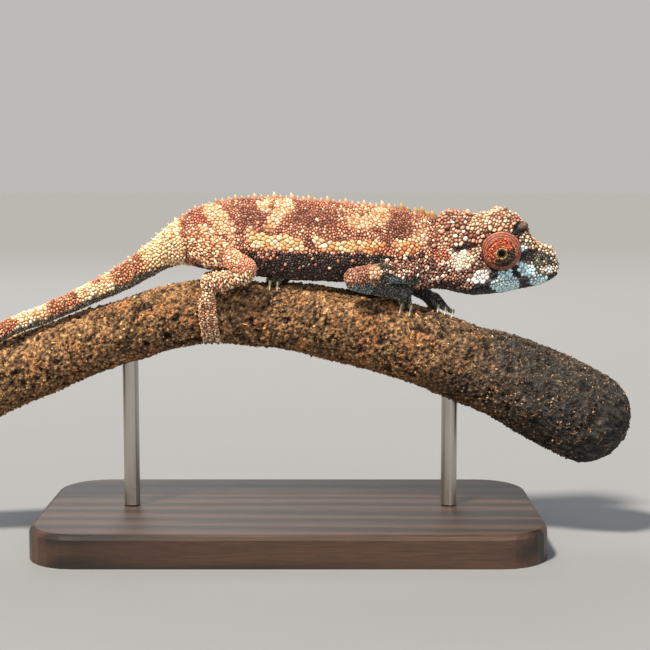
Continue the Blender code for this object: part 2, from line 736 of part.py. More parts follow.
def grown_trunk(line, tools):
    """Room for neck, torso and the start of the tail."""
    return trunk_piece("trunk_room", line, 0.0, trunk_at_x(line, TAIL_MIDDLE_X), 45, 24, tools, grow=GAP)


def grown_limb(name, tools):
    return tube("limb_room", LIMBS[name], tools, LIMB_RINGS, LIMB_SIDES, grow=GAP)


def build_limbs(line, part, tools):
    """Upper and lower legs, each cut clear of what it grows from."""
    for leg, upper, lower in (
        ("front_right", "upper_arm", "forearm"),
        ("front_left", "upper_arm", "forearm"),
        ("rear_right", "thigh", "shin"),
        ("rear_left", "thigh", "shin"),
    ):
        first, second = f"{leg}_{upper}", f"{leg}_{lower}"
        inner = tube(first, LIMBS[first], part, LIMB_RINGS, LIMB_SIDES)
        cut(inner, "DIFFERENCE", grown_trunk(line, tools))
        outer = tube(second, LIMBS[second], part, LIMB_RINGS, LIMB_SIDES)
        cut(outer, "DIFFERENCE", grown_limb(first, tools), grown_trunk(line, tools))
        finish(inner, "skin")
        finish(outer, "skin")


def toe_stations(branch_x, first, last, drift, offset, lift):
    """A toe's middle line over the bark and its radius, and the line of its claw."""
    toe = []
    for t in np.linspace(0, 1, 5):
        angle = math.radians(first + (last - first) * t)
        radius = TOE_RADIUS + (TOE_TIP_RADIUS - TOE_RADIUS) * t
        clear = radius + GAP + 0.08 + lift * (1 - t) ** 2
        x = branch_x + drift * t + offset * (0.7 + 0.3 * t)
        toe.append((*branch_point(x, angle, clear), radius))
    _, _, _, reach = branch_axis(branch_x)
    turn = math.copysign(CLAW_LENGTH / reach, last - first)
    x = branch_x + drift + offset
    claw = []
    for t in (-0.35, 0.3, 0.75, 1.2):
        radius = CLAW_RADIUS + (CLAW_TIP_RADIUS - CLAW_RADIUS) * max(0.0, t / 1.2)
        clear = radius + GAP + 0.1 + 0.75 * (1 - max(0.0, t) / 1.2) ** 1.5
        claw.append((*branch_point(x, math.radians(last) + turn * (t + 0.25), clear), radius))
    return toe, claw


def build_foot(name, foot, line, part, tools):
    """Two opposed bundles of toes on a short sole, with a claw on each toe."""
    wrist = np.array(LIMBS[foot["shin"]][-1])
    pieces = []
    for b, (toes, first, last, drift, spread) in enumerate(foot["bundles"]):
        root = branch_point(foot["branch_x"], math.radians(first), TOE_RADIUS + foot["lift"] + GAP)
        palm = (*((wrist[:3] + root) / 2), PALM_RADIUS * 1.08)
        sole = ((*wrist[:3], wrist[3] * 0.92), palm, (*root, PALM_RADIUS))
        pieces.append(tube(f"sole_{b}", sole, tools, SOLE_RINGS, SOLE_SIDES))
        for k in range(toes):
            offset = (k - (toes - 1) / 2) * spread
            toe, claw = toe_stations(foot["branch_x"], first, last, drift, offset, foot["lift"])
            pieces.append(tube(f"toe_{b}_{k}", toe, tools, TOE_RINGS, TOE_SIDES))
            pieces.append(tube(f"claw_{b}_{k}", claw, tools, 3, CLAW_SIDES))
    whole = pieces[0]
    whole.name = name
    tools.objects.unlink(whole)
    part.objects.link(whole)
    fuse(whole, pieces[1:])
    room = branch("branch_room", tools, GAP)
    cut(whole, "DIFFERENCE", grown_limb(foot["shin"], tools), room, grown_trunk(line, tools))
    finish(whole, "skin")


def build_stand(part, tools):
    """Branch, flat base and two rods that end against the bark."""
    body = bmesh.new()
    bmesh.ops.create_cube(body, size=1.0)
    bmesh.ops.scale(body, verts=body.verts, vec=(BASE_LENGTH * MM, BASE_WIDTH * MM, BASE_HEIGHT * MM))
    bmesh.ops.translate(body, verts=body.verts, vec=(0, 0, BASE_HEIGHT / 2 * MM))
    upright = [e for e in body.edges if abs(e.verts[0].co.z - e.verts[1].co.z) > BASE_HEIGHT / 2 * MM]
    bmesh.ops.bevel(body, geom=upright, offset=BASE_CORNER * MM, segments=6, profile=0.5, affect="EDGES")
    top = BASE_HEIGHT * MM - 1e-6
    rim = [e for e in body.edges if all(v.co.z > top for v in e.verts)]
    bmesh.ops.bevel(body, geom=rim, offset=BASE_EDGE * MM, segments=2, profile=0.5, affect="EDGES")
    mesh = bpy.data.meshes.new("stand_base")
    body.to_mesh(mesh)
    body.free()
    outwards(mesh)
    finish(add_object("stand_base", mesh, part), "stand")
    for name, x in ROD_AT.items():
        high = branch_axis(x)[0][2]
        rod = cylinder(name, ROD_RADIUS, BASE_HEIGHT + GAP, high, ROD_SIDES, part)
        rod.location.x = x * MM
        bake(rod)
        cut(rod, "DIFFERENCE", branch("branch_room", tools, GAP))
        finish(rod, "metal")
    finish(branch("perch", part), "bark")


def main():
    clear_scene()
    part = collection("jacksons_chameleon")
    tools = collection("cutters")
    line = trunk_line()
    build_trunk(line, part)
    build_head(part, tools)
    build_limbs(line, part, tools)
    for name, foot in FEET.items():
        build_foot(name, foot, line, part, tools)
    build_stand(part, tools)


main()
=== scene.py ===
import math
import random
import time

import bpy
import numpy as np
from mathutils import Matrix, Vector, noise
from mathutils.bvhtree import BVHTree
from mathutils.kdtree import KDTree


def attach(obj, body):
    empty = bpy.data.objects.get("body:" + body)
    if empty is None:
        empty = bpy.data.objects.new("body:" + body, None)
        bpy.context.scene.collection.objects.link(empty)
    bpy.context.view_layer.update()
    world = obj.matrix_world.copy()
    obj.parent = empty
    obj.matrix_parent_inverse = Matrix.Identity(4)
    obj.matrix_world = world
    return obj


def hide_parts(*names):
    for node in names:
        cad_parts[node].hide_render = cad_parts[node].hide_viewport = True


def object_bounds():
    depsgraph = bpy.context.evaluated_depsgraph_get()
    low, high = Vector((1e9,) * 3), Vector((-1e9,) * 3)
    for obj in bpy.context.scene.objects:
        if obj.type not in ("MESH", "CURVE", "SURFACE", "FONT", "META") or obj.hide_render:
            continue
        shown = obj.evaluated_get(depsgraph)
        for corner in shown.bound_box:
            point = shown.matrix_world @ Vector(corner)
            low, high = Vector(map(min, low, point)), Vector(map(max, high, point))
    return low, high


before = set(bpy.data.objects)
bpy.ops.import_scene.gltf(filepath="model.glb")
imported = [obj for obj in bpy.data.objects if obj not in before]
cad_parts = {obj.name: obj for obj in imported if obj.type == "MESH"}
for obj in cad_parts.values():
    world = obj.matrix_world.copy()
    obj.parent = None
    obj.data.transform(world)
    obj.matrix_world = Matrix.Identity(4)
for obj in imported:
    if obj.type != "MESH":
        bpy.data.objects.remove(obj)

# A Jackson's chameleon on its branch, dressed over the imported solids.
# Sizes are in millimetres until a mesh is made; +X is the animal's front, -Y its right side.
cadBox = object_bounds()
mm = 0.001
started = time.time()
rightSide, leftSide = -1, 1
up = np.array((0.0, 0.0, 1.0))


def report(stage):
    print(f"{time.time() - started:6.1f} s  {stage}")


# Curves and frames

def unit(vectors):
    vectors = np.asarray(vectors, float)
    return vectors / np.maximum(np.linalg.norm(vectors, axis=-1, keepdims=True), 1e-12)


def through(keys, values, at):
    # a smooth curve through the values at their keys, read at other places
    keys, values = np.asarray(keys, float), np.asarray(values, float)
    values = values.reshape(len(keys), -1)
    slopes = np.gradient(values, keys, axis=0)
    at = np.atleast_1d(np.asarray(at, float))
    i = np.clip(np.searchsorted(keys, at, side="right") - 1, 0, len(keys) - 2)
    width = (keys[i + 1] - keys[i])[:, None]
    t = (at[:, None] - keys[i][:, None]) / width
    return (
        (2 * t**3 - 3 * t**2 + 1) * values[i]
        + (t**3 - 2 * t**2 + t) * width * slopes[i]
        + (3 * t**2 - 2 * t**3) * values[i + 1]
        + (t**3 - t**2) * width * slopes[i + 1]
    )


def travelled(points):
    steps = np.linalg.norm(np.diff(points, axis=0), axis=1)
    return np.concatenate([[0.0], np.cumsum(steps)])


def transported(tangents, firstUp):
    # up directions that turn as little as they can along a line
    ups = []
    current = np.asarray(firstUp, float)
    for tangent in tangents:
        current = unit(current - np.dot(current, tangent) * tangent)
        ups.append(current)
    return np.array(ups)


def smoothStep(low, high, value):
    t = np.clip((value - low) / (high - low), 0, 1)
    return t * t * (3 - 2 * t)


def bump(distance, width):
    return np.exp(-((distance / width) ** 2))


def grain(points, size, shift=0.0):
    # soft noise between about -1 and 1, with lumps of the given size in millimetres
    scaled = np.asarray(points) / size + shift
    return np.array([noise.noise(p) for p in scaled.tolist()])


def alongLine(x, z, x1, z1, x2, z2):
    # distance to a straight stretch and the share of it that is nearest
    dx, dz = x2 - x1, z2 - z1
    t = np.clip(((x - x1) * dx + (z - z1) * dz) / (dx * dx + dz * dz), 0, 1)
    return np.hypot(x - x1 - t * dx, z - z1 - t * dz), t


def barDistance(x, z, bar):
    # distance to a bar from one end to the other, over its radius there
    distance, t = alongLine(x, z, *bar[:4])
    return distance / (bar[4] + (bar[5] - bar[4]) * t)


def spotDistance(x, z, spot):
    # distance to the middle of an oval, over its radius that way
    cx, cz, rx, rz, tilt = spot
    c, s = math.cos(math.radians(tilt)), math.sin(math.radians(tilt))
    dx, dz = x - cx, z - cz
    return np.hypot((dx * c + dz * s) / rx, (dz * c - dx * s) / rz)


# Colours and nodes

def linear(hexColour):
    parts = [int(hexColour[i:i + 2], 16) / 255 for i in (1, 3, 5)]
    return (*[c / 12.92 if c <= 0.04045 else ((c + 0.055) / 1.055) ** 2.4 for c in parts], 1.0)


def rgb(hexColour):
    return np.array(linear(hexColour)[:3])


def linearList(hexColours):
    return np.array([rgb(h) for h in hexColours])


def blend(first, second, share):
    return first * (1 - share) + second * share


def setSockets(tree, node, sockets):
    # an output is linked, and anything else becomes the socket's own value
    for key, value in sockets.items():
        if isinstance(value, bpy.types.NodeSocket):
            tree.links.new(value, node.inputs[key])
        else:
            node.inputs[key].default_value = value


def addNode(tree, kind, sockets, **settings):
    node = tree.nodes.new("ShaderNode" + kind)
    for key, value in settings.items():
        setattr(node, key, value)
    setSockets(tree, node, sockets)
    return node


def newMaterial(name):
    material = bpy.data.materials.new(name)
    material.use_nodes = True
    tree = material.node_tree
    place = addNode(tree, "TexCoord", {}).outputs["Object"]
    return material, tree, tree.nodes["Principled BSDF"], place


# Meshes

def newObject(name, points, faces, tints, smooth=True):
    # points in millimetres, each with its colour; faces an array of triangles or quads, or a list of any faces
    mesh = bpy.data.meshes.new(name)
    if isinstance(faces, np.ndarray):
        sides = faces.shape[1]
        mesh.vertices.add(len(points))
        mesh.vertices.foreach_set("co", (np.asarray(points) * mm).astype(np.float32).ravel())
        mesh.loops.add(faces.size)
        mesh.loops.foreach_set("vertex_index", faces.astype(np.int32).ravel())
        mesh.polygons.add(len(faces))
        mesh.polygons.foreach_set("loop_start", np.arange(0, faces.size, sides, dtype=np.int32))
        mesh.update(calc_edges=True)
    else:
        mesh.from_pydata((np.asarray(points) * mm).tolist(), [], faces)
    if smooth:
        mesh.shade_smooth()
    made = placed(name, mesh)
    paint(made, tints)
    return made


def placed(name, data):
    made = bpy.data.objects.new(name, data)
    bpy.context.scene.collection.objects.link(made)
    return made


def paint(piece, tints):
    # one colour a point, which the materials read by name
    attribute = piece.data.color_attributes.new("tint", "FLOAT_COLOR", "POINT")
    rgba = np.ones((len(tints), 4), np.float32)
    rgba[:, :3] = np.clip(tints, 0, 1)
    attribute.data.foreach_set("color", rgba.ravel())


def setUv(piece, uvOfPoint):
    layer = piece.data.uv_layers.new(name="OFBake")
    index = np.zeros(len(piece.data.loops), np.int32)
    piece.data.loops.foreach_get("vertex_index", index)
    layer.data.foreach_set("uv", np.clip(uvOfPoint[index], 0, 1).astype(np.float32).ravel())


def only(piece):
    # deselects all, then selects and activates one piece
    bpy.ops.object.select_all(action="DESELECT")
    piece.select_set(True)
    bpy.context.view_layer.objects.active = piece


def finishPiece(piece, material, nodes=()):
    piece.data.materials.clear()
    piece.data.materials.append(material)
    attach(piece, "root")
    if nodes:
        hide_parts(*nodes)
    return piece


def pointsOf(piece):
    flat = np.zeros(len(piece.data.vertices) * 3, np.float32)
    piece.data.vertices.foreach_get("co", flat)
    return flat.reshape(-1, 3) / mm


def movePoints(piece, points):
    piece.data.vertices.foreach_set("co", (np.asarray(points) * mm).astype(np.float32).ravel())
    piece.data.update()
    piece.data.shade_smooth()


def drawnOut(name, sides, profile):
    # a disc drawn out ring by ring, through radii and heights; its first point is a quarter turn round
    bpy.ops.object.select_all(action="DESELECT")
    bpy.ops.mesh.primitive_circle_add(vertices=sides, radius=profile[0][0] * mm, fill_type="NGON",
                                      calc_uvs=False, location=(0, 0, profile[0][1] * mm))
    piece = bpy.context.object
    piece.name = piece.data.name = name
    bpy.ops.object.transform_apply(location=True)
    bpy.ops.object.mode_set(mode="EDIT")
    bpy.ops.mesh.select_all(action="SELECT")
    for (radius, low), (nextRadius, high) in zip(profile, profile[1:]):
        share = nextRadius / radius
        bpy.ops.mesh.extrude_region_move(TRANSFORM_OT_translate={"value": (0, 0, (high - low) * mm)})
        bpy.ops.transform.resize(value=(share, share, 1), center_override=(0, 0, high * mm))
    bpy.ops.object.mode_set(mode="OBJECT")
    return piece


def fixFacing(piece):
    only(piece)
    bpy.ops.object.mode_set(mode="EDIT")
    bpy.ops.mesh.select_all(action="SELECT")
    bpy.ops.mesh.normals_make_consistent(inside=False)
    bpy.ops.mesh.select_all(action="DESELECT")
    bpy.ops.object.mode_set(mode="OBJECT")


def tubeFaces(rings, sides, first):
    # quads between rings of equally many points, and a face over each end
    r = np.arange(rings - 1)[:, None] * sides + first
    k = np.arange(sides)[None, :]
    after = (k + 1) % sides
    quads = np.stack([r + k, r + sides + k, r + sides + after, r + after], -1).reshape(-1, 4)
    end = first + rings * sides
    return [*quads.tolist(), list(range(first, first + sides)), list(range(end - 1, end - sides - 1, -1))]


def insideBox(points):
    # keeps loose bark and the blunt end just inside the part's own length
    points[..., 0] = np.clip(points[..., 0], cadBox[0][0] / mm + 0.02, cadBox[1][0] / mm - 0.02)
    return points


def treeOf(points):
    tree = KDTree(len(points))
    for k, p in enumerate(points.tolist()):
        tree.insert(p, k)
    tree.balance()
    return tree


def pointNormals(points, triangles):
    a, b, c = (points[triangles[:, k]] for k in range(3))
    faceNormals = np.cross(b - a, c - a)
    normals = np.zeros_like(points)
    for k in range(3):
        for axis in range(3):
            normals[:, axis] += np.bincount(triangles[:, k], faceNormals[:, axis], len(points))
    return unit(normals)


# The branch, as the source has it

branch = {
    # x and z of the middle line and the radius, from the saw cut to the blunt end
    "stations": (
        (-96, 29.7, 8.9), (-72.5, 40.5, 8.7), (-57.5, 46.5, 8), (-41, 52.4, 7.6), (-22.5, 57, 8),
        (-5, 56.4, 8), (10, 54.3, 8.7), (20, 52.2, 9.2), (33.8, 48, 9.6), (44.3, 44.2, 9.8),
        (55, 40.2, 10.6), (65.5, 35.2, 11.4), (74.5, 30.6, 11.3),
    ),
    # how many waves round it, how many radians a millimetre along it, phase and height
    "waves": ((2, 0.11, 0.4, 0.16), (3, -0.23, 1.9, 0.12), (5, 0.37, 0.8, 0.09), (7, -0.52, 2.6, 0.06)),
    "rings": 560,
    "sides": 168,
    "endAngles": (6, 12, 18, 25, 32, 39, 46, 53, 60, 66, 72, 77, 81, 84, 87),
    "sawRings": 14,
    "cuts": (12, 42),  # together they cut the length into 559 steps
    "highest": 0.34,  # how far grains may stand out towards the toes
}


def branchAxis(x):
    # middle, direction, up and radius of the branch at x
    stations = np.array(branch["stations"])
    step = 0.5
    z0, z1 = through(stations[:, 0], stations[:, 1], [x - step, x + step])[:, 0]
    z, radius = through(stations[:, 0], stations[:, 1:], x)[0]
    along = unit((2 * step, 0.0, z1 - z0))
    return np.array((x, 0.0, z)), along, np.array((-along[2], 0.0, along[0])), radius


def branchPoint(x, angle, lift=0.0):
    # a point over the bark, by its angle from the top, positive to the left
    middle, _, rise, radius = branchAxis(x)
    waves = sum(h * math.sin(count * angle + rate * x + phase) for count, rate, phase, h in branch["waves"])
    out = math.cos(angle) * rise + math.sin(angle) * np.array((0.0, 1.0, 0.0))
    return middle + (radius + waves + lift) * out


# The animal's forms, as the source has them

trunk = {
    # x, y, z of the middle line, half height and half width, from the nape backwards
    "stations": (
        (36.4, 0, 71.75, 8.8, 6.3), (33.2, 0, 71.9, 9.3, 6.6), (28.8, 0, 72.7, 9.65, 7.4),
        (20, 0, 73.8, 9.8, 8.4), (10, 0, 74.6, 10, 8.8), (0, 0, 75.2, 10.2, 8.6),
        (-8.8, 0, 75.8, 9.8, 8), (-16.3, 0, 75.8, 9.1, 7.1), (-22.5, 0, 75.2, 7.6, 6.1),
        (-27.5, 0, 74, 5.6, 4.7), (-30.8, 0, 72.3, 4.5, 3.9), (-35.8, 0, 69, 3.7, 3.3),
        (-41, -0.5, 65.8, 3.25, 2.95), (-47.5, -1.4, 62.6, 2.9, 2.65), (-59.3, -3.3, 57.3, 2.5, 2.3),
        (-72.5, -5, 51.4, 2.15, 2),
    ),
    "step": 0.25,
    "ridge": (4, 9),  # half heights between which the back turns from round to ridged
    "bellyDrop": 0.16,
    "ridgeSharpness": 0.28,
    "bellyFullness": 0.1,
    "coat": 0.3,  # how deep the skin lies in the solids
    "ringStep": 0.7,
    "sides": 44,
}
coil = {"advance": 15, "turn": math.radians(228), "ease": 1.7, "clearance": 0.55, "tipRadius": 0.55}
head = {
    # x, crown z, brow y and z, cheek y and z, lip y and z, jaw y and z, throat z
    "stations": (
        (36.7, 81.2, 3.4, 78.8, 6.4, 72.5, 5.9, 67.6, 4.3, 64.4, 62.7),
        (37.8, 82.3, 3.6, 79.8, 6.6, 72.7, 6.2, 67.5, 4.5, 64.2, 62.6),
        (39.6, 82.5, 4, 80.3, 6.9, 73, 6.6, 67.3, 4.8, 63.9, 62.3),
        (41.3, 82.3, 4.4, 80.4, 7.1, 73.4, 7, 67, 5.2, 63.2, 61.9),
        (44.5, 81.8, 5, 80.6, 7.3, 73.4, 7.2, 66.2, 5.4, 62.7, 61.3),
        (48.3, 80.7, 5.5, 81.1, 6.9, 73.4, 6.9, 65.7, 5, 62.8, 61.4),
        (52.8, 81, 5.4, 82.6, 6.3, 72.6, 6.3, 66.1, 4.7, 63.2, 61.9),
        (55.9, 79.8, 4.8, 81.2, 5.4, 72.4, 5.7, 66.7, 4.2, 63.8, 62.4),
        (57.9, 77.4, 4, 78.7, 4.6, 71.8, 5.1, 67.1, 3.8, 64.2, 62.8),
        (59.9, 75.4, 3, 75.7, 4.1, 71.3, 4.6, 67.4, 3.4, 64.6, 63.2),
        (62.6, 73.9, 2.4, 73.9, 3.4, 70.9, 3.9, 67.7, 2.9, 65.2, 63.9),
        (65, 72.9, 1.7, 72.7, 2.4, 70.4, 3, 68, 2.1, 66.1, 65.1),
        (66.1, 70.8, 1.2, 70.7, 1.8, 69.6, 2.2, 68.2, 1.4, 66.9, 66),
        (66.8, 69.2, 0.7, 69.1, 1.1, 68.7, 1.3, 68.2, 0.8, 67.5, 67),
    ),
    "coat": 0.3,
    "rings": 84,
    "perSide": 7,
    "napeX": 33.5,  # how far the form runs into the neck
    "mouthLine": (
        (70, 68), (67.5, 67.6), (64.5, 66.7), (61.3, 66), (55.8, 65.5), (52, 65.2), (49.1, 64.2),
        (46.5, 63.3), (44.2, 62.9),
    ),
    "nostril": (62.4, 3.75, 70.1),
}
eye = {
    "place": (51.8, 5.3, 72.7),
    "radius": 5,
    "height": 4.4,
    "opening": 1.25,
    "socket": (5.02, 4.72),  # radii between which the skin sinks under the turret
    "ballRadius": 2.2,
    "ballDepth": 1.85,
    "gaze": {rightSide: (-4, -9), leftSide: (14, 3)},  # degrees forwards and up
}
limbs = {
    # x, y, z and radius, from the trunk outwards
    "front_right_upper_arm": ((30, -4.6, 67.4, 3.2), (25, -7.8, 67.3, 2.75), (19.5, -10, 67, 2.5),
                              (15.6, -10.8, 66.3, 2.5)),
    "front_right_forearm": ((15.8, -10.4, 65.2, 2.25), (20.2, -8.7, 64, 2.1), (25.2, -6.9, 62.4, 1.75)),
    "front_left_upper_arm": ((30, 4.6, 67.4, 3.2), (27.8, 8, 66.4, 2.7), (25.8, 10, 64.7, 2.45)),
    "front_left_forearm": ((25.9, 9.8, 63.8, 2.2), (30.6, 8.2, 62.6, 1.95), (35.4, 5, 60.2, 1.7)),
    "rear_right_thigh": ((-23, -2.6, 74.6, 4.4), (-18.5, -6.4, 72.2, 4), (-13.5, -9.2, 70.1, 3.1),
                         (-10, -10.6, 68.8, 2.5)),
    "rear_right_shin": ((-10.4, -10.7, 67.4, 2.15), (-14.5, -10.9, 65.9, 2), (-19, -10.6, 64.9, 2.2)),
    "rear_left_thigh": ((-23, 2.6, 74.6, 4.4), (-16, 7.4, 72.4, 3.8), (-8, 10.4, 70.2, 3),
                        (-3.4, 11.2, 68.9, 2.5)),
    "rear_left_shin": ((-3.3, 11.2, 67.6, 2.2), (-3.5, 10.9, 65, 2.05), (-4.4, 9.9, 62.8, 2)),
}
limbShape = {"coat": 0.25, "rings": 26, "sides": 24}
feet = {
    # the limb it ends, its x on the branch, how high its root lies, and its two bundles:
    # each has its toes, first and last angle round the branch, drift along it and spread
    "front_right_foot": ("front_right_forearm", 25.1, 1.9,
                         ((2, -24, -36, 1, 2.2), (3, -6, 30, 0.2, 1.6))),
    "front_left_foot": ("front_left_forearm", 33, 1.7,
                        ((3, 17, -5, 2.2, 1.7), (2, 32, 62, 0.6, 1.7))),
    "rear_right_foot": ("rear_right_shin", -19.7, 1.4,
                        ((3, -72, -138, 0.4, 1.8), (2, -42, 18, 1, 1.7))),
    "rear_left_foot": ("rear_left_shin", -2.4, 1.4, ((2, 30, -27, -2.2, 1.8), (3, 70, 128, 0.4, 1.7))),
}
toes = {
    "radius": 1, "tipRadius": 0.78, "rings": 24, "sides": 16,
    "palmRadius": 1.75, "palmRings": 16, "palmSides": 20, "coat": 0.3, "gap": 0.3,
}
claws = {
    "radius": 0.42, "tipRadius": 0.07, "length": 1.7, "sides": 12, "rings": 10,
    "tones": ("#5d574b", "#cfc8b2"),
}
crest = {
    "frontX": 35.45, "backX": -46, "pitch": 4.45, "lowShare": 0.55,
    # x and the height of the tall spines there
    "heights": ((-46, 0.5), (-20, 0.75), (-5, 1.2), (10, 1.05), (18, 1.15), (24, 1.5), (30, 1.8),
                (35.5, 1.6)),
    "sunk": 0.9, "slimness": 0.66, "lean": 0.3, "seed": 11, "sides": 16, "rings": 10,
}


def coilStations():
    # the end of the tail, wound round the branch
    x0, y0, z0, r0 = (trunk["stations"][-1][k] for k in (0, 1, 2, 4))
    middle, along, rise, radius = branchAxis(x0)
    offset = np.array((x0, y0, z0)) - middle
    startAngle = math.atan2(offset[1], np.dot(offset, rise))
    startLift = math.hypot(offset[1], np.dot(offset, rise)) - radius
    startX = x0 + np.dot(offset, along) * along[0]
    made = []
    for t in np.linspace(0, 1, 22)[1:]:
        thickness = r0 + (coil["tipRadius"] - r0) * t
        x = startX - coil["advance"] * (1 - (1 - t) ** 2)
        angle = startAngle - coil["turn"] * t ** coil["ease"]
        settled = min(1.0, t / 0.25)
        lift = startLift * (1 - settled) + (thickness + coil["clearance"]) * settled
        made.append((*branchPoint(x, angle, lift), thickness * 1.04, thickness * 0.96))
    return made


def trunkLine():
    stations = np.array([*trunk["stations"], *coilStations()])
    keys = travelled(stations[:, :3])
    at = np.arange(0, keys[-1], trunk["step"])
    rows = through(keys, stations, at)
    tangents = unit(np.gradient(rows[:, :3], axis=0))
    return {"at": at, "rows": rows, "tangents": tangents, "ups": transported(tangents, up)}


def trunkFrame(line, s):
    # middle, up, side and half sizes at a distance along the trunk
    row = np.array([np.interp(s, line["at"], column) for column in line["rows"].T])
    rise = unit([np.interp(s, line["at"], column) for column in line["ups"].T])
    tangent = unit([np.interp(s, line["at"], column) for column in line["tangents"].T])
    return row[:3], rise, np.cross(tangent, rise), row[3], row[4], tangent


def trunkRing(line, s, sides, grow):
    middle, rise, side, halfHeight, halfWidth, _ = trunkFrame(line, s)
    low, high = trunk["ridge"]
    ridged = min(1.0, max(0.0, (halfHeight - low) / (high - low)))
    drop = trunk["bellyDrop"] * ridged * halfHeight
    angles = 2 * math.pi * np.arange(sides) / sides
    c, s_ = np.cos(angles), np.sin(angles)
    above = c > 0
    power = np.where(above, 1 + trunk["ridgeSharpness"] * ridged, 1 - trunk["bellyFullness"] * ridged)
    reach = np.where(above, halfHeight + drop, halfHeight - drop)
    across = np.sign(s_) * np.abs(s_) ** power * (halfWidth + grow)
    return middle + np.outer(c * (reach + grow) - drop, rise) + np.outer(across, side)


def trunkAtX(line, x):
    return line["at"][int(np.argmax(line["rows"][:, 0] <= x))]


def headRing(row, grow):
    # a closed section through crown, brow, cheek, lip, jaw and throat, drawn in by the coat
    x, crown, browY, browZ, cheekY, cheekZ, lipY, lipZ, jawY, jawZ, throat = row
    left = [(browY, browZ), (cheekY, cheekZ), (lipY, lipZ), (jawY, jawZ)]
    marks = np.array([(0.0, crown), *left, (0.0, throat), *[(-y, z) for y, z in reversed(left)]])
    count = len(marks)
    looped = np.array([marks[i % count] for i in range(-2, count + 3)])
    yz = through(np.arange(-2, count + 3), looped, np.arange(count * head["perSide"]) / head["perSide"])
    centre = np.array((0.0, (crown + throat) / 2))
    yz = yz + unit(yz - centre) * grow
    return np.column_stack([np.full(len(yz), x), yz])


def tubeRings(stations, rings, sides, grow):
    # rings of a round limb with domed ends, and its direction and share of the length at each ring
    stations = np.asarray(stations, float)
    keys = travelled(stations[:, :3])
    rows = through(keys, stations, np.linspace(0, keys[-1], rings))
    middle, radii = rows[:, :3], rows[:, 3] + grow
    tangents = unit(np.gradient(middle, axis=0))
    ups = transported(tangents, np.cross(tangents[0], (0.3, 0.9, 0.1)))
    sideways = np.cross(tangents, ups)
    angles = np.linspace(0, 2 * math.pi, sides, endpoint=False)
    around = np.cos(angles)[:, None, None] * ups + np.sin(angles)[:, None, None] * sideways
    made = [middle[i] + radii[i] * around[:, i] for i in range(rings)]
    ends, domeAngles = [], [math.radians(a) for a in (20, 40, 60, 78)]
    for end, sign in ((0, -1), (-1, 1)):
        ends.append([middle[end] + sign * radii[end] * math.sin(a) * tangents[end]
                     + radii[end] * math.cos(a) * around[:, end] for a in domeAngles])
    along = np.concatenate([[tangents[0]] * 4, tangents, [tangents[-1]] * 4])
    share = np.concatenate([[0.0] * 4, np.linspace(0, 1, rings), [1.0] * 4])
    return ends[0][::-1] + made + ends[1], along, share


def toeStations(branchX, first, last, drift, offset, lift):
    # a toe's middle line over the bark and its radius, and the line of its claw
    toe = []
    for t in np.linspace(0, 1, 5):
        angle = math.radians(first + (last - first) * t)
        radius = toes["radius"] + (toes["tipRadius"] - toes["radius"]) * t
        clear = radius + toes["gap"] + 0.08 + lift * (1 - t) ** 2
        x = branchX + drift * t + offset * (0.7 + 0.3 * t)
        toe.append((*branchPoint(x, angle, clear), radius))
    reach = branchAxis(branchX)[3]
    turn = math.copysign(claws["length"] / reach, last - first)
    x = branchX + drift + offset
    claw = []
    for t in (-0.35, 0.1, 0.45, 0.8):
        radius = claws["radius"] + (claws["tipRadius"] - claws["radius"]) * max(0.0, t / 0.8)
        clear = radius + toes["gap"] + 0.1 + 0.75 * (1 - max(0.0, t) / 0.8) ** 1.5
        claw.append((*branchPoint(x, math.radians(last) + turn * (t + 0.25), clear), radius))
    return toe, claw


def gazeDirection(side):
    forwards, upwards = (math.radians(a) for a in eye["gaze"][side])
    level = math.cos(upwards)
    return np.array((level * math.sin(forwards), side * level * math.cos(forwards), math.sin(upwards)))


# Raw forms of the flesh, joined afterwards into one skin

partNames = ["trunk", "head", *limbs, *[f"{n}_sole" for n in feet], *[f"{n}_toes" for n in feet]]
partIndex = {name: k for k, name in enumerate(partNames)}


def toeGrooves(points, toeLines):
    # how much nearer a point lies to one toe than to the next
    nearest = np.stack([np.linalg.norm(points[:, None] - toe[None], axis=2).min(1) for toe in toeLines], 1)
    nearest.sort(axis=1)
    return nearest[:, 1] - nearest[:, 0]


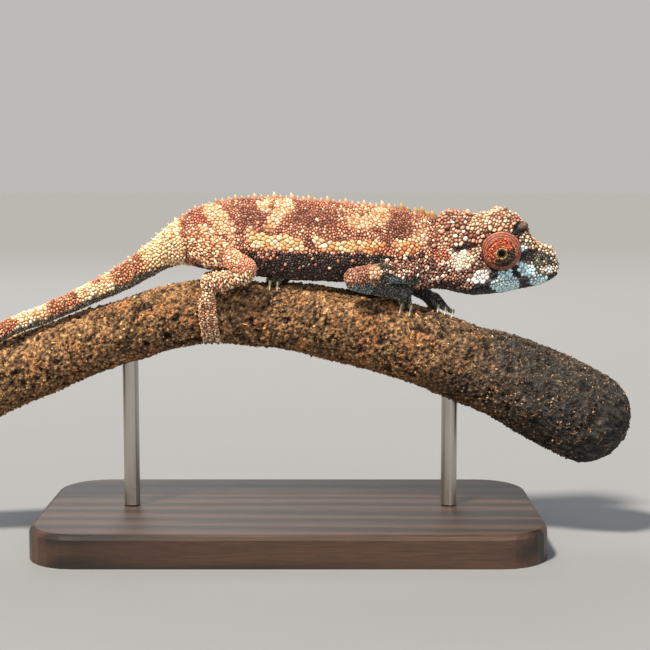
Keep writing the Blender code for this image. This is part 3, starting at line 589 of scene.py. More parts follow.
def rawForms(line):
    # every form of the flesh in rings, with each point's part, direction and place along it
    raw = {"points": [], "faces": [], "part": [], "along": [], "place": []}
    total = 0

    def add(part, rings, along, places):
        nonlocal total
        count, sides = len(rings), len(rings[0])
        raw["points"].append(np.concatenate(rings))
        raw["faces"] += tubeFaces(count, sides, total)
        raw["part"].append(np.full(count * sides, partIndex[part]))
        raw["along"].append(np.repeat(along, sides, axis=0))
        raw["place"].append(np.repeat(places, sides))
        total += count * sides

    end = line["at"][-1]
    places = np.linspace(0.0, end, int(end / trunk["ringStep"]))
    rings = [trunkRing(line, s, trunk["sides"], -trunk["coat"]) for s in places]
    add("trunk", rings, [trunkFrame(line, s)[5] for s in places], places)

    keys = [s[0] for s in head["stations"]]
    xs = np.linspace(keys[0], keys[-1], head["rings"])
    rings = [headRing(row, -head["coat"]) for row in through(keys, head["stations"], xs)]
    nape = [rings[0] + (rings[0] - rings[0].mean(0)) * share + np.array((dx, 0, 0))
            for dx, share in ((head["napeX"] - keys[0], -0.16), (-1.2, -0.06))]
    add("head", nape + rings, [(-1.0, 0.0, 0.0)] * (len(rings) + 2), [head["napeX"], keys[0] - 1.2, *xs])

    clawLines, toeLines = [], []
    for name, stations in limbs.items():
        add(name, *tubeRings(stations, limbShape["rings"], limbShape["sides"], -limbShape["coat"]))
    for name, (limb, branchX, lift, bundles) in feet.items():
        wrist = np.array(limbs[limb][-1])
        for count, first, last, drift, spread in bundles:
            root = branchPoint(branchX, math.radians(first), toes["radius"] + lift + toes["gap"])
            sole = ((*wrist[:3], wrist[3] * 0.92), (*((wrist[:3] + root) / 2), toes["palmRadius"] * 1.08),
                    (*root, toes["palmRadius"]))
            add(f"{name}_sole", *tubeRings(sole, toes["palmRings"], toes["palmSides"], -toes["coat"]))
            for k in range(count):
                offset = (k - (count - 1) / 2) * spread
                toe, claw = toeStations(branchX, first, last, drift, offset, lift)
                rings, along, share = tubeRings(toe, toes["rings"], toes["sides"], -toes["coat"])
                add(f"{name}_toes", rings, along, share)
                toeLines.append(np.array([ring.mean(0) for ring in rings]))
                clawLines.append(claw)
    for key in ("points", "part", "along", "place"):
        raw[key] = np.concatenate(raw[key])
    return raw, clawLines, toeLines


# The skin: one closed surface over all the flesh

skin = {"voxel": 0.36, "smoothing": 9, "lipEdge": "#b5a794"}


def remeshed(raw):
    # one skin round all the raw forms, as points and quads in millimetres
    mesh = bpy.data.meshes.new("raw")
    mesh.from_pydata(raw["points"].tolist(), [], raw["faces"])
    body = placed("raw", mesh)
    remesh = body.modifiers.new("remesh", "REMESH")
    remesh.mode = "VOXEL"
    remesh.voxel_size = skin["voxel"]
    only(body)
    bpy.ops.object.modifier_apply(modifier=remesh.name)
    points = np.zeros(len(body.data.vertices) * 3)
    body.data.vertices.foreach_get("co", points)
    quads = np.array([list(face.vertices) for face in body.data.polygons])
    bpy.data.objects.remove(body, do_unlink=True)
    return points.reshape(-1, 3), quads


def largestPart(points, quads):
    # drops closed scraps: labels spread along faces until they settle
    label = np.arange(len(points))
    while True:
        low = label[quads].min(axis=1)
        spread = label.copy()
        for k in range(4):
            np.minimum.at(spread, quads[:, k], low)
        spread = spread[spread]
        if (spread == label).all():
            break
        label = spread
    names, counts = np.unique(label, return_counts=True)
    keep = label == names[counts.argmax()]
    index = np.cumsum(keep) - 1
    return points[keep], index[quads[keep[quads[:, 0]]]]


def smoothed(points, quads, passes):
    # smooths without shrinking, by turns pulling in and pushing out
    edges = np.concatenate([quads[:, (k, (k + 1) % 4)] for k in range(4)])
    a = np.concatenate([edges[:, 0], edges[:, 1]])
    b = np.concatenate([edges[:, 1], edges[:, 0]])
    degree = np.bincount(a, minlength=len(points))[:, None]
    for _ in range(passes):
        for amount in (0.55, -0.56):
            mean = np.column_stack([np.bincount(a, points[b, axis], len(points)) for axis in range(3)])
            points = points + amount * (mean / degree - points)
    return points


def turretDistances(points, side):
    # distance along the gaze and away from it, from the middle of a turret
    place = np.array(eye["place"]) * (1, side, 1)
    gaze = gazeDirection(side)
    away = points - place
    along = away @ gaze
    return along, np.linalg.norm(away - along[:, None] * gaze, axis=1)


def mouthDistance(x, z):
    # signed distance from the mouth line in side view, positive above it
    line = np.array(head["mouthLine"])
    best = np.full(len(x), 1e9)
    sign = np.ones(len(x))
    for (x1, z1), (x2, z2) in zip(line, line[1:]):
        distance, _ = alongLine(x, z, x1, z1, x2, z2)
        closer = distance < best
        best = np.where(closer, distance, best)
        sign = np.where(closer, np.sign((z - z1) * (x1 - x2) + (x - x1) * (z2 - z1) + 1e-12), sign)
    return best * sign


folds = {
    # side view bars that sink into the skin: x, z to x, z, half widths, depth
    "head": (
        (41.6, 73.2, 46.3, 73.5, 0.75, 0.65, 0.55),
        (46.8, 63.6, 41.8, 61.9, 0.35, 0.4, 0.45),
        (48.6, 62.9, 43.2, 61.2, 0.3, 0.3, 0.35),
        (50.4, 62.5, 45.6, 61, 0.25, 0.28, 0.3),
        (44, 66.3, 40.6, 63.4, 0.45, 0.45, 0.3),
        (57, 74, 57.4, 76.4, 0.5, 0.4, 0.3),
    ),
    "body": (
        (35.4, 79, 34.9, 66.5, 0.7, 0.6, 0.5),
        (31.3, 70.5, 32.8, 64.5, 0.5, 0.5, 0.4),
        (29.4, 71, 30.4, 66, 0.4, 0.4, 0.3),
        (-22.6, 77.2, -15, 73.9, 0.5, 0.4, 0.5),
        (-23, 75.6, -18.2, 73.8, 0.5, 0.4, 0.45),
        (-24.6, 73.9, -21, 71, 0.6, 0.5, 0.5),
        (-19.8, 79.6, -17.2, 77.2, 0.3, 0.3, 0.3),
    ),
}


def carved(points, normals, part, place, toeLines):
    # how far each point of the skin moves out along its normal
    x, y, z = points.T
    move = 0.16 * grain(points, 3.4) + 0.07 * grain(points, 1.3, 7.0)
    onHead = part == partIndex["head"]
    onTrunk = part == partIndex["trunk"]
    lower = np.abs(normals[:, 2]) < 0.75
    # lips and the line of the mouth
    mouth = mouthDistance(x, z)
    inMouth = onHead & (x > 43.5)
    move += inMouth * (-0.5 * bump(mouth + 0.1, 0.2) + 0.2 * bump(np.abs(mouth) - 0.6, 0.35))
    # sockets, nostrils and a raised rim round each
    for side in (rightSide, leftSide):
        ahead, off = turretDistances(points, side)
        facing = onHead & (ahead > -1.5) & (y * side > 0)
        rim = -1.1 * smoothStep(*eye["socket"], off) + 0.2 * bump(off - 5.7, 0.4) - 0.16 * bump(off - 6.4, 0.3)
        move += facing * rim
        near = np.linalg.norm(points - np.array(head["nostril"]) * (1, side, 1), axis=1)
        move += -0.6 * bump(near, 0.5) + 0.22 * bump(near - 0.95, 0.3)
    for bar in folds["head"]:
        move -= onHead * lower * bar[6] * bump(barDistance(x, z, bar), 1.0)
    for bar in folds["body"]:
        move -= onTrunk * (np.abs(y) > 2) * bar[6] * bump(barDistance(x, z, bar), 1.0)
    # lumpy casque and brow
    crown = onHead * smoothStep(74.5, 77.5, z)
    move += crown * (0.4 * grain(points, 2.3, 3.0) + 0.15 * grain(points, 1.1, 6.0))
    # dip behind the casque
    move -= (onHead | onTrunk) * smoothStep(77.0, 80.0, z) * 0.9 * bump(x - 35.9, 1.2)
    # faint ribs and loose skin along the flank
    flank = onTrunk * smoothStep(-14, -8, x) * smoothStep(27, 20, x)
    flank = flank * smoothStep(0.3, 0.8, np.abs(normals[:, 1]))
    move += flank * 0.13 * np.sin(2 * math.pi * (x + 0.25 * (z - 70)) / 4.9)
    # wrinkles across elbows, knees and wrists
    for name in limbs:
        here = part == partIndex[name]
        bend = bump(place - 0.97, 0.16) + 0.7 * bump(place, 0.12)
        move += here * bend * 0.18 * np.sin(2 * math.pi * place * 9)
    # grooves between the toes, and fuller rear shins
    toed = part >= partIndex["front_right_foot_toes"]
    move[toed] -= 0.6 * bump(toeGrooves(points[toed], toeLines), 0.4)
    move += 0.32 * np.isin(part, [partIndex[n] for n in limbs if "shin" in n])
    # pads under the toes, from short creases across them
    for name in feet:
        here = part == partIndex[f"{name}_toes"]
        move += here * 0.07 * np.sin(2 * math.pi * place * 7)
    return move


# Markings, with some painted shade in folds and under the body, in the animal's side view as seen from a
# little above, alike on both sides

tones = {
    # colour between scales, width, height and bluntness of a scale, then its colours with their shares
    "ground": ("#5c362b", 0.66, 1.0, 0.12, "#b1785e 30 #ca8f72 30 #e2aa8d 18 #915b48 16 #f7cbac 6"),
    "groundDark": ("#41251e", 0.64, 0.95, 0.15, "#905a49 36 #a86f59 30 #784a3d 20 #c2876d 12 #dca687 2"),
    "cream": ("#926343", 0.86, 0.62, 0.6, "#cda883 34 #d5b594 30 #c29570 20 #dcc2aa 10 #ad7b58 6"),
    "mixed": ("#603b28", 0.78, 0.8, 0.4, "#ddba90 28 #cc9971 24 #e5ceac 16 #b0795c 20 #885641 12"),
    "stripe": ("#965c2a", 0.9, 0.5, 0.75, "#d7b180 32 #e0c69e 28 #cc9d69 22 #e6d5b9 12 #c0854c 6"),
    "orange": ("#70391f", 0.82, 0.62, 0.6, "#d08e55 32 #dca76f 26 #b96f40 18 #ecca9c 20 #985032 4"),
    "pink": ("#572a22", 0.7, 0.9, 0.25, "#c37b5f 34 #d49276 28 #ab6650 24 #e8b898 10 #8b4d3b 4"),
    # the belly's dark tone is partly its own colour and partly painted shade under the body
    "belly": ("#241e1b", 0.62, 0.7, 0.3, "#4a3c38 38 #614d46 28 #352c28 22 #856d62 9 #bda08b 3"),
    "shoulder": ("#271917", 0.7, 0.95, 0.4, "#855b4e 26 #a77663 24 #5e3f37 20 #daa890 16 #f7ddc7 14"),
    "tailPink": ("#553224", 0.64, 0.85, 0.2, "#c5825f 32 #dd9b76 26 #a76b4e 24 #f7c393 12 #875139 6"),
    "tailCream": ("#9a6f4d", 0.74, 0.75, 0.45, "#efd0a0 34 #f7e3b6 30 #dcb387 20 #f7f2d9 12 #c09267 4"),
    "tailUnder": ("#39352e", 0.62, 0.6, 0.35, "#736d63 34 #8a8477 26 #5d5848 26 #a59a8b 12 #bfb4a0 2"),
    "thigh": ("#623b2a", 0.84, 1.0, 0.35, "#d39872 24 #e8b992 25 #b67a5a 17 #f6dcb6 28 #8f5b45 6"),
    "knee": ("#875542", 0.6, 0.6, 0.4, "#e6a17e 34 #f7b998 28 #ce8b6c 26 #f7deb8 10 #ab6e55 2"),
    "shin": ("#634233", 0.78, 1.0, 0.35, "#cf9b78 24 #e6bb95 26 #ae7b5d 18 #f6deba 26 #845f4a 6"),
    "rearFoot": ("#6b4838", 0.64, 0.9, 0.35, "#d3a07c 24 #eac19b 26 #b28060 18 #f8e2c0 26 #8a644e 6"),
    "elbow": ("#4a2c23", 0.58, 0.6, 0.4, "#a97560 34 #bd886f 28 #8e5f4c 24 #d8a689 10 #6f483a 4"),
    "armDark": ("#28221e", 0.62, 0.75, 0.35, "#554a40 30 #706455 26 #413b33 24 #9d8f80 14 #eedec7 6"),
    "greyBlue": ("#303738", 0.56, 0.55, 0.4, "#7b8689 34 #919e9f 26 #626f70 26 #acb9b9 12 #4b5554 2"),
    "hand": ("#22201d", 0.5, 0.6, 0.3, "#53534e 34 #65655e 26 #42423d 26 #807a71 10 #a29b8c 2"),
    "farFoot": ("#383730", 0.48, 0.6, 0.3, "#7a7a67 34 #8f8e7a 28 #666654 26 #a6a48e 10 #585545 2"),
    "casque": ("#42251d", 0.84, 1.0, 0.3, "#aa7860 28 #c2937a 26 #8d5c48 20 #deb79b 18 #efd5bb 8"),
    "brow": ("#704936", 0.82, 0.95, 0.35, "#d3ad8f 30 #e5c6a8 28 #bc8e76 20 #f2dfc4 16 #a0725c 6"),
    "face": ("#2a1c1b", 0.7, 0.85, 0.3, "#805b4f 30 #9e7567 26 #60443e 24 #c39884 14 #e9c5af 6"),
    "faceDark": ("#151414", 0.62, 0.65, 0.3, "#312f2f 36 #434140 30 #252424 24 #5d5853 8 #908475 2"),
    "cheek": ("#9e8066", 0.72, 0.6, 0.55, "#dfd0b8 36 #e9e3d1 32 #d0ba9d 20 #eff1e8 10 #be9f85 2"),
    "white": ("#8e7e79", 0.9, 0.6, 0.7, "#e9e1db 42 #f5f3f0 34 #d8cac2 18 #f7f7f7 4 #c1ada3 2"),
    "blue": ("#6e878b", 0.84, 0.6, 0.6, "#c6e8ee 36 #ddf7f7 32 #abcfd6 20 #f7f7f7 10 #93b1b8 2"),
    "jawBlue": ("#6f898f", 0.76, 0.6, 0.6, "#cff2f7 34 #e5f7f7 32 #bcdee4 20 #f7f7f7 12 #9bb9bf 2"),
    # the jaw's dark tone is partly its own colour and partly painted shade under the head
    "jawDark": ("#1e1c1c", 0.6, 0.55, 0.4, "#413f3e 36 #535150 30 #333230 26 #6c665f 6 #a3998e 2"),
    "lip": ("#594f45", 0.68, 0.7, 0.5, "#f7e7cc 30 #f7f7f7 30 #bfb29d 20 #f7f7f7 18 #887d6f 2"),
    "snout": ("#1a1817", 0.64, 0.85, 0.3, "#665c55 30 #80756c 24 #453f3b 28 #b5a697 14 #dccab8 4"),
    "ridge": ("#4c372b", 0.76, 0.9, 0.4, "#c6a387 28 #dcc4a6 28 #ab846a 18 #ede1c5 20 #846453 6"),
    # near-black scales laid along the deepest skin folds: painted shade in the creases
    "slit": ("#150d0c", 0.56, 0.55, 0.3, "#3b2925 40 #4c352f 30 #291c1a 24 #644840 5 #83604f 1"),
    "bead": ("#5c3f34", 0.7, 1.0, 0.45, "#f0d8c2 40 #f8e8d6 30 #e0bfa6 20 #fdf4e8 8 #c9a08a 2"),
    "oliveRim": ("#2a2a24", 0.54, 0.7, 0.3, "#7b7c68 40 #8f8f7b 30 #63634f 24 #a8a48c 5 #4a493b 1"),
}
squeezed = {
    # kinds with long scales: width over length, and degrees from the part's own direction
    "thigh": (0.52, 0), "shin": (0.5, 90), "rearFoot": (0.65, 90), "shoulder": (0.62, 55), "elbow": (0.75, 90),
    "armDark": (0.75, 0), "knee": (0.8, 90), "slit": (0.7, 0), "jawDark": (0.7, 0), "white": (0.8, 30),
    "casque": (0.8, 60), "brow": (0.68, 50), "ridge": (0.75, 20), "tailPink": (0.8, 90), "pink": (0.8, 60),
    "ground": (0.82, 90), "stripe": (0.88, 0), "blue": (0.9, 45),
}
kindNames = list(tones)
kindIndex = {name: k for k, name in enumerate(kindNames)}
palettes = [tones[k][4].split() for k in kindNames]
toneColours = np.array([linearList(p[0::2]) for p in palettes])
toneShares = np.array([np.cumsum([float(share) for share in p[1::2]]) / 100 for p in palettes])
toneGaps = linearList([tones[k][0] for k in kindNames])
toneSpacing, toneHeight, toneBlunt = np.array([tones[k][1:4] for k in kindNames]).T
toneSqueeze, toneTurn = np.array([squeezed.get(k, (1.0, 0)) for k in kindNames]).T

marks = {
    # ovals: kind, x, z, half width, half height, tilt; bars: kind, x, z, x, z, half thicknesses
    "trunk": (
        ("pink", -19, 79.6, 6, 3.6, -18), ("groundDark", -10.6, 81, 2.1, 2.6, 0),
        ("groundDark", 6, 80.6, 5, 2.3, -8), ("groundDark", 27.6, 78.6, 3, 3.6, 0),
        ("cream", -18.9, 81.9, 2.9, 2.4, -20), ("cream", -17.4, 79.6, 2.3, 2.3, 0),
        ("cream", -16.1, 78, 2.8, 1.7, -12), ("cream", -14.7, 75.4, 0.85, 1.7, 12),
        ("cream", -22.6, 78.5, -18.8, 77.2, 0.75, 0.8), ("cream", -22.7, 76.5, -19, 74.9, 0.8, 0.75),
        # the two near-black marks by the hip lie in its folds: painted shade
        ("slit", -23.6, 75.2, 1.6, 0.8, -20), ("slit", -18.2, 74.1, 1.1, 0.6, -20),
        ("cream", -6.3, 83.6, 1.9, 1.7, 0), ("mixed", -3.8, 84.4, 1.9, 1.2, 0),
        ("cream", -1.2, 83.3, 2.4, 2.2, 0), ("cream", -3, 81.8, -5.2, 78.2, 1.6, 1.3),
        ("cream", -9.8, 76.9, 1.4, 1.3, 0), ("stripe", -8.2, 74.9, 2.6, 73.6, 1.95, 1.6),
        ("groundDark", 4.8, 74.3, 1.4, 1.5, 0), ("stripe", 7.1, 74.7, 1.3, 0.95, 0),
        ("stripe", 8.6, 73.6, 20.4, 73.3, 1.35, 1.6), ("orange", 20.6, 73.4, 23.6, 73.4, 1.45, 1),
        ("pink", 24.2, 72.5, 1.7, 0.7, 0), ("groundDark", 24.8, 74.2, 1.2, 0.9, 0),
        ("orange", 29.4, 73.2, 3.3, 2, 0), ("cream", 26.8, 73.9, 1.1, 1, 0),
        ("mixed", 12.9, 81.8, 1, 1.8, 0), ("mixed", 17.4, 80.6, 4.3, 3, -4),
        ("cream", 17.6, 79.3, 3.6, 1.9, 0), ("cream", 22.4, 80.9, 2.5, 2.2, 0),
        ("mixed", 32.9, 76.6, 2.1, 3.4, 8), ("cream", 33, 75.4, 1.4, 1.9, 8),
        # the near-black mark by the shoulder lies in a fold: painted shade
        ("slit", 33.2, 71.3, 0.8, 0.6, 0), ("pink", 36.8, 71.8, 2.1, 1.7, 0),
        ("pink", -5.4, 70.6, 2.9, 0.8, -4), ("shoulder", 31, 67.2, 8.2, 3.9, 0),
    ),
    "head": (
        ("casque", 39.5, 78.6, 7.5, 5.8, 0), ("brow", 53, 80.4, 6.4, 3.3, -14),
        # the near-black bar on this line lies in the fold behind the eye: painted shade
        ("brow", 47.8, 79.6, 2.6, 2.2, 0), ("slit", 41.6, 73.2, 46.2, 73.5, 0.85, 0.75),
        ("face", 47.4, 69.4, 2.6, 2.6, 0), ("ridge", 46.5, 71.9, 1.1, 1.7, -12),
        ("cheek", 42.7, 69.9, 3.7, 2.35, 14), ("pink", 38, 70.6, 2.2, 2.2, 0),
        ("shoulder", 38.6, 66.4, 3, 3.4, 0), ("white", 48, 65.9, 3.3, 1.65, 14),
        ("faceDark", 51.2, 66.3, 1.4, 1.3, 0), ("blue", 54, 66.5, 2.2, 1.4, 4),
        ("faceDark", 56.6, 67.4, 1.1, 1.6, 0), ("blue", 59.2, 67.3, 2.2, 1.9, -20),
        ("blue", 57.4, 69.5, 1.3, 1, -35), ("faceDark", 60, 71.6, 2.3, 1.8, 0),
        ("faceDark", 57.2, 72, 1, 2.2, 0), ("snout", 64.1, 70.2, 2.6, 1.9, 0),
        ("oliveRim", 61.9, 69.6, 1.2, 1, 0), ("blue", 58.4, 73.2, 0.85, 0.85, 0),
        ("ridge", 58.6, 75.6, 66.4, 72.6, 2.1, 1.5), ("faceDark", 57.4, 77.8, 1.7, 1.7, 0),
        ("lip", 65.3, 67.7, 2.8, 1.1, 8), ("jawDark", 48.7, 63.4, 3.3, 1.2, 8),
        ("jawBlue", 53.9, 64, 3.7, 1.9, 6), ("jawBlue", 61.9, 65.2, 2.3, 1.2, 10),
    ),
}
tailBands = ((-35.3, -25.6), (-52, -43.6), (-67, -59.2))
coilBands = {"start": 4, "pitch": 13, "cream": 6}
flankLine = ((-30, 70.8), (-16, 71.6), (-10, 72), (-4, 71.7), (8, 71.6), (20, 71.4), (28, 70.6), (34, 69.8),
             (40, 69))
sideView = {"target": (8.75, 0, 53.75), "distance": 350, "rise": math.radians(6)}


def inSideView(points):
    # where a point of either side shows beside the animal's middle plane, seen from its right
    tx, _, tz = sideView["target"]
    c, s = math.cos(sideView["rise"]), math.sin(sideView["rise"])
    x, y, z = points.T
    depth = sideView["distance"] - (np.abs(y) * c + (z - tz) * s)
    scale = sideView["distance"] / depth
    return tx + (x - tx) * scale, tz + ((z - tz) * c - np.abs(y) * s) * scale


def kindsOf(line, points, normals, part, place):
    # which marking each point lies in
    x, z = inSideView(points)
    wobble = 0.16 * grain(points, 1.7, 11.0) + 0.1 * grain(points, 0.8, 5.0)
    onTrunk, onHead = part == partIndex["trunk"], part == partIndex["head"]
    kinds = np.full(len(points), kindIndex["ground"])

    def mark(name, where):
        kinds[where] = kindIndex[name]

    def inside(shape):
        distance = spotDistance(x, z, shape) if len(shape) == 5 else barDistance(x, z, shape)
        return distance + wobble < 1

    patchy = grain(points, 4.5, 2.0)
    mark("groundDark", onTrunk & (patchy > 0.34))
    mark("pink", onTrunk & (patchy < -0.5))
    edge = np.interp(x, *zip(*flankLine))
    for name, *shape in marks["trunk"]:
        mark(name, onTrunk & (z > edge - 4) & inside(shape))
    edge = edge + wobble * 1.6
    flankMarks = np.isin(kinds, [kindIndex[k] for k in ("stripe", "orange", "cream", "slit")])
    # below the flank line the trunk takes the dark belly tone: partly its own colour, partly painted shade
    mark("belly", onTrunk & (z <= edge) & ~(flankMarks & (z > edge - 1.2)) & (x > -24))
    mark("shoulder", onTrunk & (z <= edge) & inside((31.5, 67.0, 8.4, 4.2, 0)))
    mark("pink", onTrunk & inside((-5.4, 70.7, 3.0, 0.75, -4)))

    # tail, banded, with a grey underside
    middleX = np.interp(place, line["at"], line["rows"][:, 0])
    onTail = onTrunk & (middleX < -25.6 + 0.22 * (z - 76))
    mark("tailPink", onTail)
    for low, high in tailBands:
        mark("tailCream", onTail & (middleX + wobble * 2.2 > low) & (middleX + wobble * 2.2 < high))
    coilStart = trunkAtX(line, -73.0)
    turn = (place - coilStart - coilBands["start"] + wobble * 2) % coilBands["pitch"]
    mark("tailCream", onTail & (place > coilStart + coilBands["start"]) & (turn < coilBands["cream"]))
    mark("pink", onTail & inside((-48.2, 65.0, 1.2, 0.9, 0)))
    away = smoothStep(-30, -36, middleX)
    rise = np.column_stack([np.interp(place, line["at"], line["ups"][:, k]) for k in range(3)])
    below = -(rise * normals).sum(1)
    mark("tailUnder", onTail & (below + wobble * 0.5 > 0.95 - 0.5 * away))

    # head
    mark("casque", onHead)
    mark("face", onHead & (z < 74.0 + wobble * 2))
    mark("snout", onHead & (x > 60.5))
    for name, *shape in marks["head"]:
        mark(name, onHead & inside(shape))
    trueX, trueZ = points[:, 0], points[:, 2]
    jaw = onHead & (mouthDistance(trueX, trueZ) < 0) & (trueX > 44.5) & (trueZ < 67.9)
    # the lower jaw in dark scales, partly its own colour and partly painted shade, and painted shade on every
    # part of the head that faces down
    mark("jawDark", jaw | (onHead & (normals[:, 2] < -0.72)))
    for name, *shape in marks["head"]:
        if name in ("jawBlue", "lip", "blue"):
            mark("lip" if name == "lip" else "jawBlue", jaw & inside(shape))
    # painted shade: the throat, facing down, takes the dark belly tone
    mark("belly", onHead & (normals[:, 2] < -0.6) & (trueX <= 41))

    # limbs
    for name in limbs:
        here = part == partIndex[name]
        if name.startswith("rear"):
            mark("thigh" if "thigh" in name else "shin", here)
            if "thigh" in name:
                mark("knee", here & (place > 0.66 + wobble * 0.2))
                mark("cream", here & inside((-14.8, 70.1, 1.2, 1.2, 0)) & ("right" in name))
                # painted shade: the thigh's underside towards the knee takes the arm's dark scales
                mark("armDark", here & (normals[:, 2] < -0.5 + wobble) & (place > 0.55))
        elif "upper_arm" in name:
            mark("armDark", here)
            mark("shoulder", here & (place < 0.45 + wobble * 0.5) & (normals[:, 2] > -0.35 + wobble))
            mark("elbow", here & (place > 0.62 + wobble * 0.6))
            mark("cream", here & inside((21.4, 66.7, 1.7, 1.8, 0)))
            mark("greyBlue", here & inside((26.6, 64.9, 2.2, 1.3, 0)))
            mark("greyBlue", here & (normals[:, 2] < -0.82 + wobble))
        else:
            mark("hand", here)
            mark("greyBlue", here & (place + wobble * 0.5 < 0.42))
    for name in feet:
        here = (part == partIndex[f"{name}_sole"]) | (part == partIndex[f"{name}_toes"])
        kind = {"rear_right_foot": "rearFoot", "rear_left_foot": "farFoot"}.get(name, "hand")
        mark(kind, here)
        if kind == "hand":
            mark("farFoot", (part == partIndex[f"{name}_toes"]) & (place > 0.72 + wobble * 0.3))
    return kinds


def pickedTints(kinds, draws):
    # one of each kind's five scale colours, by its share
    column = (draws[:, None] > toneShares[kinds]).sum(1).clip(0, 4)
    return toneColours[kinds, column]


# Scales

scaleShape = {
    "seed": 23,
    "oversample": 8.0,  # candidates for each scale wanted
    "sizes": (0.76, 1.3), "rareSize": 1.4, "lipRadius": 0.3, "turnSpread": 22,
    "hardCore": 0.83,  # share of two scales' radii within which neither lets the other grow
    "relaxing": 2, "largest": 0.8, "neighbours": 13,
    # corners, share of the way to the neighbours, and most reach in its own radii
    "beads": (8, 0.93, 1.35), "plates": (14, 0.97, 1.6), "granules": (8, 0.93, 1.3),
    "sunk": 0.16, "lean": 0.75, "patch": 0.0015,
    "plateFrom": 0.55,  # bluntness of the flat plates
    "largeFrom": 0.46,  # radius from which a scale has one ring more
    "tailFrom": -26, "backFrom": 75,
}
beads = {
    # single large beads in side view: kind, then x, z and radius of each
    "trunk": (
        ("pink", ((-1, 69, 0.75), (-2, 67.8, 0.6), (2.5, 68.2, 0.7), (1.8, 65.5, 0.65), (12, 69.8, 0.7),
                    (15.8, 69.8, 0.75), (6.5, 69, 0.5), (5.5, 70.5, 0.5),)),
        ("bead", ((-5.5, 71.6, 0.8), (10.2, 68.2, 0.7), (24.5, 69.8, 0.8), (28.8, 70, 0.7),
                    (30.8, 67.8, 0.75), (27.5, 67.5, 0.6), (29, 65.8, 0.75), (32, 65, 0.6),
                    (30.4, 73.2, 0.65), (26.8, 72.2, 0.65), (31.2, 75.8, 0.7), (33.2, 75.8, 0.75),
                    (34.5, 75.2, 0.7), (34, 77, 0.7), (32.5, 79, 0.6), (33, 74, 0.7), (33.8, 72.8, 0.6),
                    (21.8, 82.2, 0.65), (16.8, 82.5, 0.6), (13.5, 82.6, 0.6),)),
        ("cream", ((-19.2, 77, 0.8), (-20.8, 77.5, 0.75), (-20.2, 75.5, 0.8), (-21.8, 76, 0.7),
                    (-9.9, 77.1, 0.95), (-10.4, 76, 0.8),)),
        ("bead", ((-0.2, 83.4, 0.75), (-3, 83.4, 0.6), (-39.8, 69.8, 0.6))),
        ("pink", ((-12.4, 79, 0.6), (-6, 79.4, 0.6))),
        ("cream", ((7, 80, 0.75),)),
        ("bead", ((8.6, 76.8, 0.6),)),
        ("pink", ((3.2, 77.2, 0.6), (11.6, 76.6, 0.55))),
        ("cream", ((7.9, 74.6, 0.9), (18.9, 74, 0.8), (13.6, 74.1, 0.75), (10.4, 74.3, 0.75))),
    ),
    "head": (
        ("bead", ((41.2, 76.2, 0.75), (41.5, 73.9, 0.75), (43.8, 75.2, 0.75), (41, 79.5, 0.65),
                    (43.2, 77.2, 0.65), (38, 68.8, 0.65), (36.8, 67.8, 0.6), (38.5, 66, 0.7),
                    (40, 67.4, 0.6), (39.6, 69.2, 0.6),)),
        ("pink", ((41.6, 65.6, 0.6),)),
        ("bead", ((37, 64.6, 0.5),)),
        ("ridge", ((49, 79.8, 0.6),)),
        ("bead", ((44.6, 70.4, 0.6), (40.3, 71.8, 0.6))),
        ("casque", ((45.6, 77.9, 0.6),)),
    ),
    "front_right_upper_arm": (
        ("bead", ((25.2, 66.9, 0.65), (27.2, 66.2, 0.7), (22.9, 67.2, 0.55))),
    ),
    "front_left_upper_arm": (
        ("bead", ((28, 66.2, 0.65),)),
    ),
    "rear_right_thigh": (
        ("bead", ((-15.4, 70.4, 0.7),)),
        ("cream", ((-21.4, 70, 0.7), (-19, 68.6, 0.6))),
    ),
    "rear_left_thigh": (
        ("bead", ((-12, 71, 0.7),)),
    ),
}
beadShare = 0.72
rareBeads = {"ground": 0.035, "pink": 0.03, "belly": 0.012, "shoulder": 0.07, "casque": 0.08, "brow": 0.05,
             "tailPink": 0.03, "tailCream": 0.05, "thigh": 0.04, "face": 0.04, "mixed": 0.06, "shin": 0.03}


def thinned(places, order, radii, squeeze, along):
    # the first in order stays, and takes out each candidate that crowds it
    tree = treeOf(places)
    alive = (order < 99).tolist()
    core, largest, kept = scaleShape["hardCore"], scaleShape["largest"], []
    points, radii, squeeze, along = places.tolist(), radii.tolist(), squeeze.tolist(), along.tolist()
    for k in np.argsort(order, kind="stable").tolist():
        if not alive[k]:
            continue
        kept.append(k)
        mine, narrow, (px, py, pz), (tx, ty, tz) = radii[k], squeeze[k], points[k], along[k]
        width = core * math.sqrt(narrow)
        for (qx, qy, qz), other, distance in tree.find_range(points[k], width / narrow * (mine + largest)):
            if narrow < 1:
                ahead = tx * (qx - px) + ty * (qy - py) + tz * (qz - pz)
                distance = math.sqrt(max(0.0, distance**2 - (1 - narrow**2) * ahead**2))
            if distance < width * (mine + radii[other]):
                alive[other] = False
    return np.array(kept)


def relaxed(places, facing, kept, fixed, free):
    # each scale that isn't fixed moves to the middle of the ground that is nearest to it
    centre, count = places[kept].copy(), len(kept)
    for _ in range(scaleShape["relaxing"]):
        tree = treeOf(centre)
        owners = np.array([tree.find(p)[1] for p in places[free].tolist()])
        agree = (facing[free] * facing[kept][owners]).sum(1) > 0.3
        used, owner = free[agree], owners[agree]
        held = np.bincount(owner, minlength=count)
        mean = np.column_stack([np.bincount(owner, places[used, axis], count) for axis in range(3)])
        moved = centre + 0.8 * (mean / np.maximum(held, 1)[:, None] - centre)
        centre = np.where((fixed | (held == 0))[:, None], centre, moved)
    return centre


